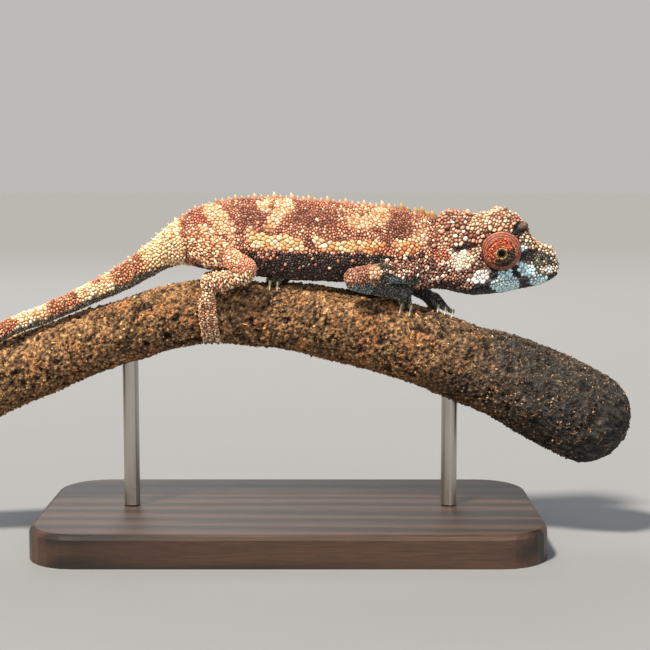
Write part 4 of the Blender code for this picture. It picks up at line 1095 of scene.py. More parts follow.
def scatter(line, points, normals, triangles, fields, toeLines):
    # candidates spread by area and size, then thinned so that no two scales crowd each other
    draw = np.random.default_rng(scaleShape["seed"])
    corner = [points[triangles[:, k]] for k in range(3)]
    area = np.linalg.norm(np.cross(corner[1] - corner[0], corner[2] - corner[0]), axis=1) / 2
    spacing = toneSpacing[kindsOf(line, points, normals, *fields[:2])[triangles[:, 0]]]
    wanted = area / (0.866 * spacing**2)
    total = int(wanted.sum() * scaleShape["oversample"])
    picked = np.sort(draw.choice(len(triangles), total, p=wanted / wanted.sum()))
    a, b = np.sqrt(draw.random(total)), draw.random(total)
    weights = np.column_stack([1 - a, a * (1 - b), a * b])
    tri = triangles[picked]
    where = (points[tri] * weights[:, :, None]).sum(1)
    facing = unit((normals[tri] * weights[:, :, None]).sum(1))
    part, place, along = (field[tri[:, 0]] for field in fields)
    kinds = kindsOf(line, where, facing, part, place)
    radius = toneSpacing[kinds] / 2 * draw.uniform(*scaleShape["sizes"], total)
    order = draw.random(total) + 3
    x, z = inSideView(where)

    # rare beads are larger scales here and there
    for name, share in rareBeads.items():
        large = (kinds == kindIndex[name]) & (draw.random(total) < share / scaleShape["oversample"])
        radius[large] *= scaleShape["rareSize"]
        order[large] = draw.random(large.sum()) + 2
    # rows along the lips
    onHead = part == partIndex["head"]
    mouth = mouthDistance(where[:, 0], where[:, 2])
    row = onHead & (where[:, 0] > 46) & (np.abs(np.abs(mouth) - 0.42) < 0.06)
    radius[row] = scaleShape["lipRadius"]
    order[row] = draw.random(row.sum()) + 1
    # larger scales along the upper edge of the flank's pale stripe
    radius[(kinds == kindIndex["stripe"]) & (z > 74.2)] *= 1.18
    # none in the mouth, the sockets and the nostrils, or between the toes
    blocked = onHead & (where[:, 0] > 43.5) & (np.abs(mouth) < 0.26)
    for side in (rightSide, leftSide):
        ahead, off = turretDistances(where, side)
        blocked |= onHead & (where[:, 1] * side > 0) & (ahead > -1.5) & (off < eye["socket"][0])
        blocked |= np.linalg.norm(where - np.array(head["nostril"]) * (1, side, 1), axis=1) < 0.62
    toed = np.flatnonzero(part >= partIndex["front_right_foot_toes"])
    blocked[toed] |= toeGrooves(where[toed], toeLines) < 0.26
    # chosen beads
    for name, rows in beads.items():
        chosen = [(kind, *bead) for kind, group in rows for bead in group]
        for side, word in ((rightSide, "_left_"), (leftSide, "_right_")):
            ofSide = np.flatnonzero((part == partIndex[name]) & (where[:, 1] * side > 0) & ~blocked)
            if not len(ofSide) or word in name:
                continue
            for kind, beadX, beadZ, size in chosen:
                shift = (0, 0) if side == rightSide else draw.normal(0, 0.5, 2)
                reach = np.hypot(x[ofSide] - beadX - shift[0], z[ofSide] - beadZ - shift[1])
                best = ofSide[reach.argmin()]
                if reach.min() < 0.5:
                    order[best], radius[best], kinds[best] = 0, size * beadShare, kindIndex[kind]
    order[blocked] = 99

    turn = np.radians(toneTurn[kinds] + draw.normal(0, scaleShape["turnSpread"], total))[:, None]
    flat = unit(along - (along * facing).sum(1)[:, None] * facing)
    along = flat * np.cos(turn) + np.cross(facing, flat) * np.sin(turn)
    kept = thinned(where, order, radius, toneSqueeze[kinds], along)
    report(f"{len(kept)} scales from {total} candidates")
    fixed = (order[kept] < 2) | (toneSqueeze[kinds[kept]] < 1)
    return {
        "p": relaxed(where, facing, kept, fixed, np.flatnonzero(order < 99)), "n": facing[kept],
        "part": part[kept], "along": along[kept], "kind": kinds[kept], "radius": radius[kept],
        "draw": draw.random((len(kept), 4)), "lip": row[kept],
    }


def scaleOutlines(scales, directions, gap, cap):
    # how far each scale reaches in each direction before it meets its neighbours
    tree = treeOf(scales["p"])
    found = [tree.find_n(p, scaleShape["neighbours"]) for p in scales["p"].tolist()]
    index = np.array([[f[1] for f in row] for row in found])[:, 1:]
    n = scales["n"]
    along = unit(scales["along"] - (scales["along"] * n).sum(1)[:, None] * n)
    across = np.cross(n, along)
    away = scales["p"][index] - scales["p"][:, None]
    squeeze = toneSqueeze[scales["kind"]][:, None]
    flatX = (away * along[:, None]).sum(2) * squeeze
    flatY = (away * across[:, None]).sum(2)
    theta = np.arctan2(flatY, flatX)
    share = scales["radius"][:, None] / (scales["radius"][:, None] + scales["radius"][index])
    opposed = (n[index] * n[:, None]).sum(2) < 0.1
    turn = scales["draw"][:, 3:] * 2 * math.pi / directions
    angles = 2 * math.pi * np.arange(directions)[None] / directions + turn
    facing = np.cos(angles[:, :, None] - theta[:, None])
    distance = np.hypot(flatX, flatY)
    limit = (distance * share)[:, None] / np.maximum(facing, 0.15)
    limit = np.where((facing > 0.15) & ~opposed[:, None], limit, 99)
    reach = np.minimum(limit.min(2), scales["radius"][:, None] * cap) * gap
    return reach, angles, along / squeeze, across


def domes(scales, reach, angles, along, across, rings, rootUv, gapTints):
    # closed little domes: sunk root, widest ring, shoulders and a blunt or pointed top, each painted darker
    # towards its root as shade and lighter at its tip as a highlight
    count, directions = reach.shape
    n, radius = scales["n"], scales["radius"][:, None]
    blunt = toneBlunt[scales["kind"]][:, None]
    height = (toneHeight[scales["kind"]] * (0.7 + 0.65 * scales["draw"][:, 0]))[:, None] * radius
    tint = pickedTints(scales["kind"], scales["draw"][:, 1]) * (0.9 + 0.2 * scales["draw"][:, 2:3])
    # painted shade: the root ring takes nearly half of the colour between the scales
    dark = blend(gapTints, tint, 0.45)
    levels = [(-scaleShape["sunk"], 1.0, 0.0, dark)]
    for rise, width, mix in rings:
        pointed = rise * (0.8 + 0.3 * blunt)
        narrow = width * (0.86 + 0.14 * blunt) if rise < 0.5 else width * (0.72 + 0.62 * blunt)
        levels.append((pointed, np.minimum(narrow, 0.95), rise, blend(dark, tint, mix)))
    lean = unit(along) * radius * scaleShape["lean"] * (1 - 0.6 * blunt)
    lean = lean + across * (scales["draw"][:, 3:4] - 0.5) * radius * 0.25
    outward = np.cos(angles)[:, :, None] * along[:, None] + np.sin(angles)[:, :, None] * across[:, None]
    flat = np.stack([np.cos(angles), np.sin(angles)], -1)
    pointRows, tintRows, uvRows = [], [], []
    for k, (rise, width, share, colour) in enumerate(levels):
        level = rise if k == 0 else (rise * height)[:, :, None]
        ripple = np.sin(angles * 2 + 17 * scales["draw"][:, 1:2] + 2 * k)
        uneven = 1 + 0.15 * ripple * (1 - blunt) * (k > 0)
        ring = scales["p"][:, None] + n[:, None] * level + outward * (reach * width * uneven)[:, :, None]
        pointRows.append(ring + lean[:, None] * share)
        tintRows.append(np.repeat(colour[:, None], directions, 1))
        uvRows.append(rootUv[:, None] + flat * scaleShape["patch"] * (1 - 0.3 * k))
    top = scales["p"] + n * height * (1.05 - 0.05 * blunt) + lean
    pointRows.append(top[:, None])
    # painted highlight: the tip a tenth lighter than the scale
    tintRows.append(np.clip(tint * 1.1, 0, 1)[:, None])
    uvRows.append(rootUv[:, None])
    points = np.concatenate(pointRows, 1)
    perScale = points.shape[1]
    faces, last = [], perScale - 1 - directions
    turns = [(k, (k + 1) % directions) for k in range(directions)]
    for low in range(0, last, directions):
        high = low + directions
        for k, after in turns:
            faces += [(low + k, low + after, high + after), (low + k, high + after, high + k)]
    faces += [(last + k, last + after, perScale - 1) for k, after in turns]
    faces += [(0, k + 1, k) for k in range(1, directions - 1)]
    faces = np.array(faces)[None] + (np.arange(count) * perScale)[:, None, None]
    tints = np.concatenate(tintRows, 1).reshape(-1, 3)
    return points.reshape(-1, 3), faces.reshape(-1, 3), tints, np.concatenate(uvRows, 1).reshape(-1, 2)


domeRings = {
    # rise and width of each ring as shares, and how much of the scale's own colour it has; the rest is the
    # painted shade of its root
    "small": ((0.36, 0.93, 0.6), (0.82, 0.52, 1.0)),
    "large": ((0.3, 0.97, 0.45), (0.72, 0.72, 0.9), (0.93, 0.4, 1.0)),
}


def buildScales(name, scales, chosen, plates, outlines, rootUv):
    # the chosen scales as one piece: flat plates, large scales and small ones
    made, total = [], 0
    large = scales["radius"] > scaleShape["largeFrom"]
    groups = (("large", True, plates), ("large", False, large & ~plates), ("small", False, ~large & ~plates))
    for rings, plate, picks in groups:
        keep = np.flatnonzero(chosen & picks)
        if len(keep):
            own = {key: value[keep] for key, value in scales.items()}
            outline = [values[keep] for values in outlines[plate]]
            gaps = toneGaps[own["kind"]]
            points, faces, tints, uvs = domes(own, *outline, domeRings[rings], rootUv[keep], gaps)
            made.append((points, faces + total, tints, uvs))
            total += len(points)
    points, faces, tints, uvs = (np.concatenate(rows) for rows in zip(*made))
    print(f"  {name}: {chosen.sum()} scales, {len(faces)} triangles")
    piece = newObject(name, points, faces, tints)
    setUv(piece, uvs)
    return piece


# Crest

def crestSpines(line):
    # places of the crest's cones, drawn as in the source
    draw = random.Random(crest["seed"])
    first, last = trunkAtX(line, crest["frontX"]), trunkAtX(line, crest["backX"])
    made, count, s = [], 0, first
    while s < last:
        middle, rise, side, halfHeight, _, tangent = trunkFrame(line, s)
        tall = count % 3 == 0
        size = np.interp(middle[0], *zip(*crest["heights"])) * draw.uniform(0.88, 1.12)
        size *= 1.0 if tall else crest["lowShare"]
        root = middle + rise * (halfHeight - trunk["coat"])
        made.append((root, rise, tangent, side, size + trunk["coat"], tall, s))
        s += crest["pitch"] / 3 * draw.uniform(0.94, 1.06)
        count += 1
    return made


crestTones = {
    "root": "#7c4f3c", "shaft": "#b58361", "tip": "#ecd3aa", "goldShaft": "#8c663a", "goldTip": "#d0a662",
    "goldFrom": 26.0,  # x from which the cones are golden, over the shoulders
}


def buildCrest(line):
    # one cone is modelled and copied, each copy with its own size, lean and colours
    shares = np.linspace(0, 1, crest["rings"])
    cone = drawnOut("cone", crest["sides"], [(1.1 * (1 - t) ** 1.05 + 0.05, t) for t in shares])
    x, y, t = pointsOf(cone).T
    coneFaces = [list(face.vertices) for face in cone.data.polygons]
    bpy.data.objects.remove(cone, do_unlink=True)
    angle = np.arctan2(y, x)
    draw = np.random.default_rng(crest["seed"])
    pointRows, faces, tintRows, total = [], [], [], 0
    for root, rise, back, side, height, tall, s in crestSpines(line):
        width = height * crest["slimness"] * (0.98 if tall else 1.05) * (1 + 0.06 * np.cos(angle * 7 + s))
        tilt = draw.uniform(-0.12, 0.12)
        upwards = height * t * 0.985 - crest["sunk"] * 0.5 * (1 - t) ** 3
        backwards = crest["lean"] * height * t**1.7 + x * width * 1.05
        sideways = tilt * height * t + y * width * 0.72
        pointRows.append(root + np.outer(upwards, rise) + np.outer(backwards, back) + np.outer(sideways, side))
        faces += [[corner + total for corner in face] for face in coneFaces]
        total += len(x)
        golden = root[0] > crestTones["goldFrom"]
        names = ("root", "goldShaft", "goldTip") if golden else ("root", "shaft", "tip")
        rootToTip = linearList([crestTones[name] for name in names]) * draw.uniform(0.85, 1.12)
        tintRows.append(np.column_stack([np.interp(t, (0, 0.46, 1), channel) for channel in rootToTip.T]))
    piece = newObject("crest", np.concatenate(pointRows), faces, np.concatenate(tintRows))
    fixFacing(piece)
    return piece


# Eye turrets and eyeballs

turret = {
    # the last colour of the ring set is painted shade, laid in the grooves between the folds
    "ring": ("#985442", "#a86855", "#c1775f", "#43201a"),
    "cone": ("#a94524", "#cd6438", "#ee9566", "#5e2415"),
    "dark": ("#33291f", "#52402f", "#74603f", "#1f1813"),
    "lid": ("#765c3d", "#9c7f58", "#4d3a28", "#c2a67c"),
    # the lid's inner edge, down into its opening, is painted near-black: painted shade
    "gap": "#32160f", "slit": "#15100c",
    "pitch": 0.47,  # between the folds of its skin, as seen along the gaze
    "sides": 220, "rings": 100, "lip": 1.16,
    "back": ((4.7, -1.2), (4.4, -2.2), (3.6, -2.8), (1.5, -2.9)),
    "granules": (0.13, 0.17),  # radii on the lid's edge and on the cone
    "bands": (0.36, 0.82),  # polar angles at which the edge and the granules end
    "seed": 31,
}


def turretFrame(side):
    gaze = gazeDirection(side)
    rise = unit(up - np.dot(up, gaze) * gaze)
    return np.array(eye["place"]) * (1, side, 1), gaze, rise, np.cross(rise, gaze)


def turretSurface(side, polar, angle):
    # a point, normal and outward direction of the folded dome, and how high on its fold the point lies, which
    # sets the painted shade in the grooves; polar runs from the lid's edge to the rim
    place, gaze, rise, across = turretFrame(side)
    sideways = np.cos(angle)[:, None] * rise + np.sin(angle)[:, None] * across
    rough = grain(sideways * 2.2 + polar[:, None] * 1.3, 1.0, 6.0)
    turn = 2 * math.pi * np.sin(polar) * eye["radius"] / turret["pitch"] + 1.2 * rough
    folds = (0.11 * np.cos(turn) * (0.9 + 0.4 * rough)) * smoothStep(0.5, 0.75, polar)
    pores = grain(np.column_stack([angle * 14, polar * 9, polar * 0]), 1.0)
    folds += 0.035 * pores * smoothStep(0.3, 0.6, polar)
    r = (eye["radius"] + 0.04 + folds) * np.sin(polar)
    h = (eye["height"] - 0.16 + folds) * np.cos(polar)
    point = place + gaze * h[:, None] + sideways * r[:, None]
    slope = gaze * (np.cos(polar) / eye["height"])[:, None]
    slope = unit(slope + sideways * (np.sin(polar) / eye["radius"])[:, None])
    return point, slope, sideways, 0.5 + 0.5 * np.cos(turn)


def turretKind(side, polar, angle):
    # 0 outer rings, 1 bright cone above, 2 dark cone below and in front, 3 pale edge of the lid
    forwards = np.sin(angle) * (1 if side == rightSide else -1)
    kind = np.where(polar > 0.76 + 0.05 * np.sin(angle * 3), 0, 1)
    kind = np.where((kind == 1) & (np.cos(angle) - 0.75 * forwards < -0.28), 2, kind)
    return np.where(polar < 0.3, 3, kind)


def buildTurret(side, word):
    # lid skin with a turned-in edge: a plain dome is drawn out, and then its skin is folded
    segments = turret["sides"]
    opening = math.asin((eye["opening"] + 0.06) / eye["radius"])
    angles = 2 * math.pi * (np.arange(segments) / segments + 0.25)
    place, gaze, rise, across = turretFrame(side)
    around = np.outer(np.cos(angles), rise) + np.outer(np.sin(angles), across)
    inner, lip, depth, high = eye["ballRadius"] + 0.1, turret["lip"], eye["ballDepth"], eye["height"]
    edge = [(inner * math.sin(a), depth + inner * math.cos(a), 0.0) for a in (1.0, 0.75, 0.6)]
    edge += [(lip - 0.03, depth + 1.99, 0.1), (lip, high - 0.16, 0.2), (lip + 0.1, high - 0.1, 0.25)]
    dome = np.linspace(opening + 0.02, math.pi / 2, turret["rings"])
    profile = [(r, h) for r, h, _ in edge]
    profile += [(eye["radius"] * math.sin(a), high * math.cos(a)) for a in dome]
    profile += turret["back"]
    piece = drawnOut(f"turret_{word}", segments, profile)

    folded = [turretSurface(side, np.full(segments, polar), angles) for polar in dome]
    rings = [place + gaze * h + around * r for r, h, _ in edge] + [fold[0] for fold in folded]
    rings += [place + gaze * h + around * r for r, h in turret["back"]]
    # painted shade: lighter on the folds' crests and darker in their grooves, and mostly dark on the back
    # rings tucked into the socket
    tops = [np.full(segments, 0.5)] * len(edge) + [fold[3] for fold in folded]
    tops += [np.full(segments, 0.2)] * len(turret["back"])
    points, top = np.concatenate(rings), np.concatenate(tops)[:, None]
    movePoints(piece, points)
    fixFacing(piece)
    polarOf = np.repeat([p for _, _, p in edge] + list(dome) + [1.6] * len(turret["back"]), segments)
    sets = np.array([linearList(turret[k]) for k in ("ring", "cone", "dark", "lid")])
    kind = turretKind(side, polarOf + 0.04 * grain(points, 0.8), np.tile(angles, len(rings)))
    streak = smoothStep(-0.5, 0.5, grain(points, 0.55, 4.0))[:, None]
    # the outer rings take painted shade in their grooves; the cone and the lid take streaks instead
    tint = blend(sets[kind, 3], blend(sets[kind, 0], sets[kind, 2], streak), top)
    tint = np.where((kind == 0)[:, None], tint, blend(sets[kind, 0], sets[kind, 3], streak))
    # painted shade: near-black on the lid's inner edge, down into the opening
    paint(piece, np.where((polarOf < 0.15)[:, None], rgb(turret["slit"]), tint))
    return piece, buildGranules(side, word, opening, sets)


def buildGranules(side, word, opening, sets):
    # fine granules in rings on the cone of a turret
    draw = np.random.default_rng(turret["seed"] + side)
    rows, polar = [], opening + 0.05
    while polar < turret["bands"][1]:
        size = turret["granules"][int(polar >= turret["bands"][0])]
        number = int(2 * math.pi * eye["radius"] * math.sin(polar) / (size * 4.2))
        shift = draw.random()
        for k in range(number):
            turned = 2 * math.pi * (k + shift + draw.normal(0, 0.09)) / number
            rows.append((polar + draw.normal(0, 0.007), turned, size * draw.uniform(0.8, 1.15)))
        polar += size * 2 / eye["radius"]
    polarRow, angleRow, sizeRow = np.array(rows).T
    point, normal, sideways, _ = turretSurface(side, polarRow, angleRow)
    kind = turretKind(side, polarRow, angleRow + draw.normal(0, 0.14, len(rows)))
    column = draw.integers(0, 4, len(rows))
    scales = {
        "p": point, "n": normal, "along": unit(np.cross(normal, sideways)), "radius": sizeRow,
        "kind": np.full(len(rows), kindIndex["thigh"]), "draw": draw.random((len(rows), 4)),
    }
    directions = scaleShape["granules"][0]
    outline = scaleOutlines(scales, *scaleShape["granules"])
    ringUv = np.column_stack([0.02 + 0.96 * (polarRow / 1.7), (angleRow / (2 * math.pi) % 1) * 0.96 + 0.02])
    gaps = np.tile(rgb(turret["gap"]), (len(rows), 1))
    points, faces, _, uvs = domes(scales, *outline, domeRings["small"], ringUv, gaps)
    # each granule painted darker towards its root and lighter at its tip: painted shade and a painted
    # highlight
    level = np.repeat((0.35, 0.6, 1.0, 1.12), (directions, directions, directions, 1))
    colours = np.repeat(sets[kind, column] * draw.uniform(0.8, 1.15, (len(rows), 1)), len(level), axis=0)
    tints = colours * np.tile(level, len(rows))[:, None]
    granules = newObject(f"turret_scales_{word}", points, faces, tints)
    setUv(granules, uvs)
    return granules


eyeball = {
    "pupil": "#010101", "iris": "#a98656", "irisEdge": "#4a3018", "hidden": "#3a2a1c",
    "pupilRadius": 0.86, "irisRadius": 0.98,
}


def buildEyeball(side, word):
    place, gaze, _, _ = turretFrame(side)
    bpy.ops.object.select_all(action="DESELECT")
    bpy.ops.mesh.primitive_uv_sphere_add(segments=72, ring_count=96, radius=eye["ballRadius"] * mm)
    ball = bpy.context.object
    ball.name = f"eyeball_{word}"
    turn = Vector(gaze).to_track_quat("Z", "Y").to_matrix().to_4x4()
    local = pointsOf(ball)
    off = np.hypot(local[:, 0], local[:, 1])[:, None]
    pupil, iris, edge, hidden = linearList([eyeball[k] for k in ("pupil", "iris", "irisEdge", "hidden")])
    ring = smoothStep(eyeball["pupilRadius"] - 0.04, eyeball["pupilRadius"] + 0.04, off)
    rim = smoothStep(eyeball["irisRadius"] - 0.05, eyeball["irisRadius"] + 0.12, off)
    tint = np.where(local[:, 2:] > 0, blend(blend(pupil, iris, ring), edge, rim), hidden)
    ball.data.transform(Matrix.Translation(Vector((place + gaze * eye["ballDepth"]) * mm)) @ turn)
    paint(ball, tint)
    ball.data.shade_smooth()
    return ball


# Horn buds and claws

buds = {
    # root, direction, radius, length, tip radius
    "rostral": ((64.1, 0.0, 71.6), (0.45, 0.0, 0.89), 0.85, 2.4, 0.3),
    "brow": ((55.2, 3.9, 78.4), (0.97, 0.18, 0.1), 1.3, 3.4, 0.65),
}


def buildBud(name, bud, side):
    # a blunt cone with growth rings, drawn out ring by ring from a disc
    root, direction, radius, length, tip = bud
    rings, sides, blunt = 30, 36, 0.8
    shares = np.linspace(0, 1, rings)
    profile = []
    for t in shares:
        if t < blunt:
            size = radius + (tip * 1.35 - radius) * (t / blunt) ** 1.25
            height = length * t
        else:
            a = (t - blunt) / (1 - blunt) * math.pi / 2
            size = tip * 1.35 * max(math.cos(a), 0.02)
            height = length * blunt + (length * (1 - blunt) - 0.02) * math.sin(a)
        profile.append((size * (1 + 0.035 * math.sin(t * 34)), height))
    piece = drawnOut(name, sides, profile)
    points, t = pointsOf(piece), np.repeat(shares, sides)
    angle = np.arctan2(points[:, 1], points[:, 0])
    points[:, :2] *= (1 + 0.04 * np.sin(angle * 3 + t * 4) + 0.03 * np.sin(angle * 5 - t * 9))[:, None]
    mirror = np.array((1, side, 1))
    turn = np.array(Vector(direction * mirror).to_track_quat("Z", "Y").to_matrix())
    movePoints(piece, points @ turn.T + root * mirror)
    fixFacing(piece)
    return piece


def buildClaws(clawLines):
    # pale, pointed tips on darker roots, each curved down onto the bark
    pointRows, faces, tints, total = [], [], [], 0
    root, tip = linearList(claws["tones"])
    for stations in clawLines:
        rings, _, share = tubeRings(stations, claws["rings"], claws["sides"], 0.0)
        pointRows += rings
        faces += tubeFaces(len(rings), claws["sides"], total)
        tints.append(blend(root, tip, np.repeat(smoothStep(0.45, 0.95, share), claws["sides"])[:, None]))
        total += len(rings) * claws["sides"]
    piece = newObject("claws", np.concatenate(pointRows), faces, np.concatenate(tints))
    fixFacing(piece)
    return piece


# Perch

barkTones = {
    # from the pits to the tops of the grains: colour, and the levels between which it takes over; the
    # near-black of the pits is painted shade, and the pale tops are partly the bark's own colour and partly a
    # painted highlight
    "animal": (("#1a140f", 0, 0), ("#3c2d23", 0.05, 0.3), ("#71573e", 0.25, 0.5), ("#a67f58", 0.5, 0.75),
               ("#d7ab7d", 0.8, 1.0)),
    "front": (("#161413", 0, 0), ("#353331", 0.1, 0.5), ("#5f5c56", 0.6, 0.95)),
    "orange": "#b17144",
    "wood": ("#8c6d4a", "#b3926a"), "yearRing": 0.9,
}


def barkRelief(points):
    # crumbly grains over slow swellings, with pits where pieces have fallen off
    slow = grain(points, 6.0, 1.0)
    coarse = grain(points, 1.9, 8.0)
    middle = grain(points, 0.95, 15.0)
    fine = grain(points, 0.6, 21.0)
    pits = smoothStep(0.3, 0.6, grain(points, 2.6, 33.0) + 0.3 * coarse)
    return 0.12 * slow + 0.2 * coarse + 0.4 * middle + 0.5 * fine - 0.45 * pits, slow, fine


def straightBranch(radii, length):
    # a disc drawn out into a straight rod, with its saw cut and blunt end, and then cut into many rings
    sides, rings, sawRings = branch["sides"], branch["rings"], branch["sawRings"]
    profile = [(radii[0] * share, 0.0) for share in np.linspace(0.04, 0.97, sawRings)]
    profile += [(radii[0], 0.0), (radii[-1], length)]
    ends = np.radians(branch["endAngles"])
    profile += [(radii[-1] * math.cos(a), length + radii[-1] * math.sin(a) * 0.93) for a in ends]
    piece = drawnOut("branch_bark", sides, profile)
    for cuts in branch["cuts"]:
        height = pointsOf(piece)[:, 2]
        bpy.ops.object.mode_set(mode="EDIT")
        bpy.ops.mesh.select_mode(type="EDGE")
        bpy.ops.mesh.select_all(action="DESELECT")
        bpy.ops.object.mode_set(mode="OBJECT")
        pairs = np.zeros(len(piece.data.edges) * 2, np.int32)
        piece.data.edges.foreach_get("vertices", pairs)
        low, high = np.sort(height[pairs.reshape(-1, 2)], axis=1).T
        lengthwise = (high - low > 0.05) & (low > -0.05) & (high < length + 0.05)
        piece.data.edges.foreach_set("select", lengthwise)
        bpy.ops.object.mode_set(mode="EDIT")
        bpy.ops.mesh.subdivide(number_cuts=cuts)
        bpy.ops.object.mode_set(mode="OBJECT")
    # which ring and which side each point belongs to: the drawn rings come first, the cuts after them
    points = pointsOf(piece)
    number = np.arange(len(points)) // sides
    ring = np.where(number > sawRings, number + rings - 2, number)
    cutRing = sawRings + np.rint(points[:, 2] / length * (rings - 1)).astype(int)
    ring = np.where(number >= len(profile), cutRing, ring)
    turn = np.rint(np.arctan2(points[:, 1], points[:, 0]) / (2 * math.pi) * sides).astype(int) % sides
    return piece, ring * sides + turn


def buildPerch():
    sides, rings, sawRings = branch["sides"], branch["rings"], branch["sawRings"]
    angles = np.linspace(0, 2 * math.pi, sides, endpoint=False)
    stations = np.array(branch["stations"])
    xs = np.linspace(stations[0, 0], stations[-1, 0], rings)
    zs, radii = through(stations[:, 0], stations[:, 1:], xs).T
    along = unit(np.column_stack([np.ones(rings), np.zeros(rings), np.gradient(zs, xs)]))
    rise = np.column_stack([-along[:, 2], np.zeros(rings), along[:, 0]])
    wave = sum(h * np.sin(count * angles[None] + rate * xs[:, None] + phase)
               for count, rate, phase, h in branch["waves"])
    out = np.cos(angles)[None, :, None] * rise[:, None]
    out = out + np.sin(angles)[None, :, None] * np.array((0.0, 1.0, 0.0))
    middle = np.column_stack([xs, np.zeros(rings), zs])
    body = middle[:, None] + (radii[:, None] + wave)[:, :, None] * out
    rows = [middle[0] + (body[0] - middle[0]) * share for share in np.linspace(0.04, 0.97, sawRings)]
    rows += list(body)
    outs = [np.tile(-along[0], (sides, 1))] * sawRings + list(out)
    for a in np.radians(branch["endAngles"]):
        c, s = math.cos(a), math.sin(a)
        rows.append(middle[-1] + (body[-1] - middle[-1]) * c + along[-1] * radii[-1] * s * 0.93)
        outs.append(unit(out[-1] * c + along[-1] * s))
    points, facing = np.concatenate(rows), np.concatenate(outs)
    relief, slow, fine = barkRelief(points)
    saw = np.arange(len(points)) < sawRings * sides
    fromAxis = np.linalg.norm(points - middle[0], axis=1)
    yearRings = 0.5 + 0.5 * np.sin(fromAxis * 2 * math.pi / barkTones["yearRing"] + slow * 2)
    move = np.minimum(relief * 0.62, branch["highest"])
    move = np.where(saw, -0.05 - 0.06 * yearRings + 0.04 * fine, move)
    moved = insideBox(points + facing * move[:, None])
    piece, order = straightBranch(radii, xs[-1] - xs[0])
    movePoints(piece, moved[order])
    fixFacing(piece)
    tint = barkTint(moved, relief, fine, saw, yearRings)
    paint(piece, tint[order])
    return piece, moved, facing, relief, tint


def barkTint(points, relief, fine, saw, yearRings):
    # brown and orange below the animal, grey towards the front end, and bare wood on the saw cut
    # the colour follows the relief: painted shade in the pits, and on the grain tops partly the bark's own
    # colour and partly a painted highlight
    level = np.clip(relief * 0.95 + 0.5, 0, 1)[:, None]
    graded = {}
    for place in ("animal", "front"):
        (first, _, _), *later = barkTones[place]
        graded[place] = rgb(first)
        for colour, low, high in later:
            graded[place] = blend(graded[place], rgb(colour), smoothStep(low, high, level))
    reddish = smoothStep(0.2, 0.5, grain(points, 5.5, 44.0) + fine * 0.4)[:, None]
    reddish = reddish * smoothStep(0.35, 0.8, level)
    brown = blend(graded["animal"], rgb(barkTones["orange"]), 0.65 * reddish)
    forwards = smoothStep(22, 62, points[:, 0] + 9 * grain(points, 9.0, 3.0))[:, None]
    wood = blend(*linearList(barkTones["wood"]), yearRings[:, None])
    return np.where(saw[:, None], wood, blend(brown, graded["front"], forwards))


def barkChoice(points, facing, tint, count, draw, weights):
    # places on the bark, more of them where the weights are high, each near the bark's own colour there
    first = branch["sawRings"] * branch["sides"]
    usable = np.arange(first, len(points) - branch["sides"])
    share = weights[usable] / weights[usable].sum()
    picked = draw.choice(usable, count, replace=False, p=share)
    own = tint[picked] * 0.4 + tint[draw.choice(picked, count)] * 0.4
    warm = 1 + np.outer(draw.normal(0, 0.12, count), (1.0, 0.1, -0.6))
    return points[picked], facing[picked], own * warm * np.exp(draw.normal(0.1, 0.6, (count, 1)))


def sidesOf(n, draw):
    # a random direction along the surface and the one across it
    loose = draw.normal(size=n.shape)
    along = unit(loose - (loose * n).sum(1)[:, None] * n)
    return along, np.cross(n, along)


crumbs = {"count": 25000, "size": (0.2, 0.52), "reach": (1.0, 0.65, 0.9), "seed": 19, "pieces": 4}


def buildCrumbs(points, facing, relief, tint):
    # crumbs of bark: lumpy little solids of twenty faces
    draw = np.random.default_rng(crumbs["seed"])
    p, n, tint = barkChoice(points, facing, tint, crumbs["count"], draw, smoothStep(-0.9, 0.2, relief) + 0.1)
    order = np.argsort(p[:, 0])
    p, n, tint = p[order], n[order], tint[order]
    bpy.ops.object.select_all(action="DESELECT")
    bpy.ops.mesh.primitive_ico_sphere_add(subdivisions=1, radius=mm)
    lump = bpy.context.object
    corners = pointsOf(lump)
    faces = np.array([list(face.vertices) for face in lump.data.polygons])
    bpy.data.objects.remove(lump, do_unlink=True)
    along, across = sidesOf(n, draw)
    size = draw.uniform(*crumbs["size"], (len(p), 1)) * draw.uniform(0.35, 1, (len(p), 1))
    shape = corners[None] * draw.uniform(0.65, 1.3, (len(p), 12, 1))
    made = np.repeat((p - n * size * 0.2)[:, None], 12, axis=1)
    for axis, (direction, reach) in enumerate(zip((along, across, n), crumbs["reach"])):
        made += direction[:, None] * (shape[:, :, axis:axis + 1] * (size * reach)[:, None])
    made = insideBox(made)
    pieces = []
    for k, group in enumerate(np.array_split(np.arange(len(p)), crumbs["pieces"])):
        which = (faces[None] + (np.arange(len(group)) * 12)[:, None, None]).reshape(-1, 3)
        tints = np.repeat(tint[group], 12, axis=0) * draw.uniform(0.85, 1.15, (len(group) * 12, 1))
        corners = made[group].reshape(-1, 3)
        pieces.append(newObject(f"branch_crumbs_{k + 1}", corners, which, tints, smooth=False))
    return pieces


fibres = {"count": 2600, "length": (0.8, 3.2), "width": (0.09, 0.22), "seed": 17}


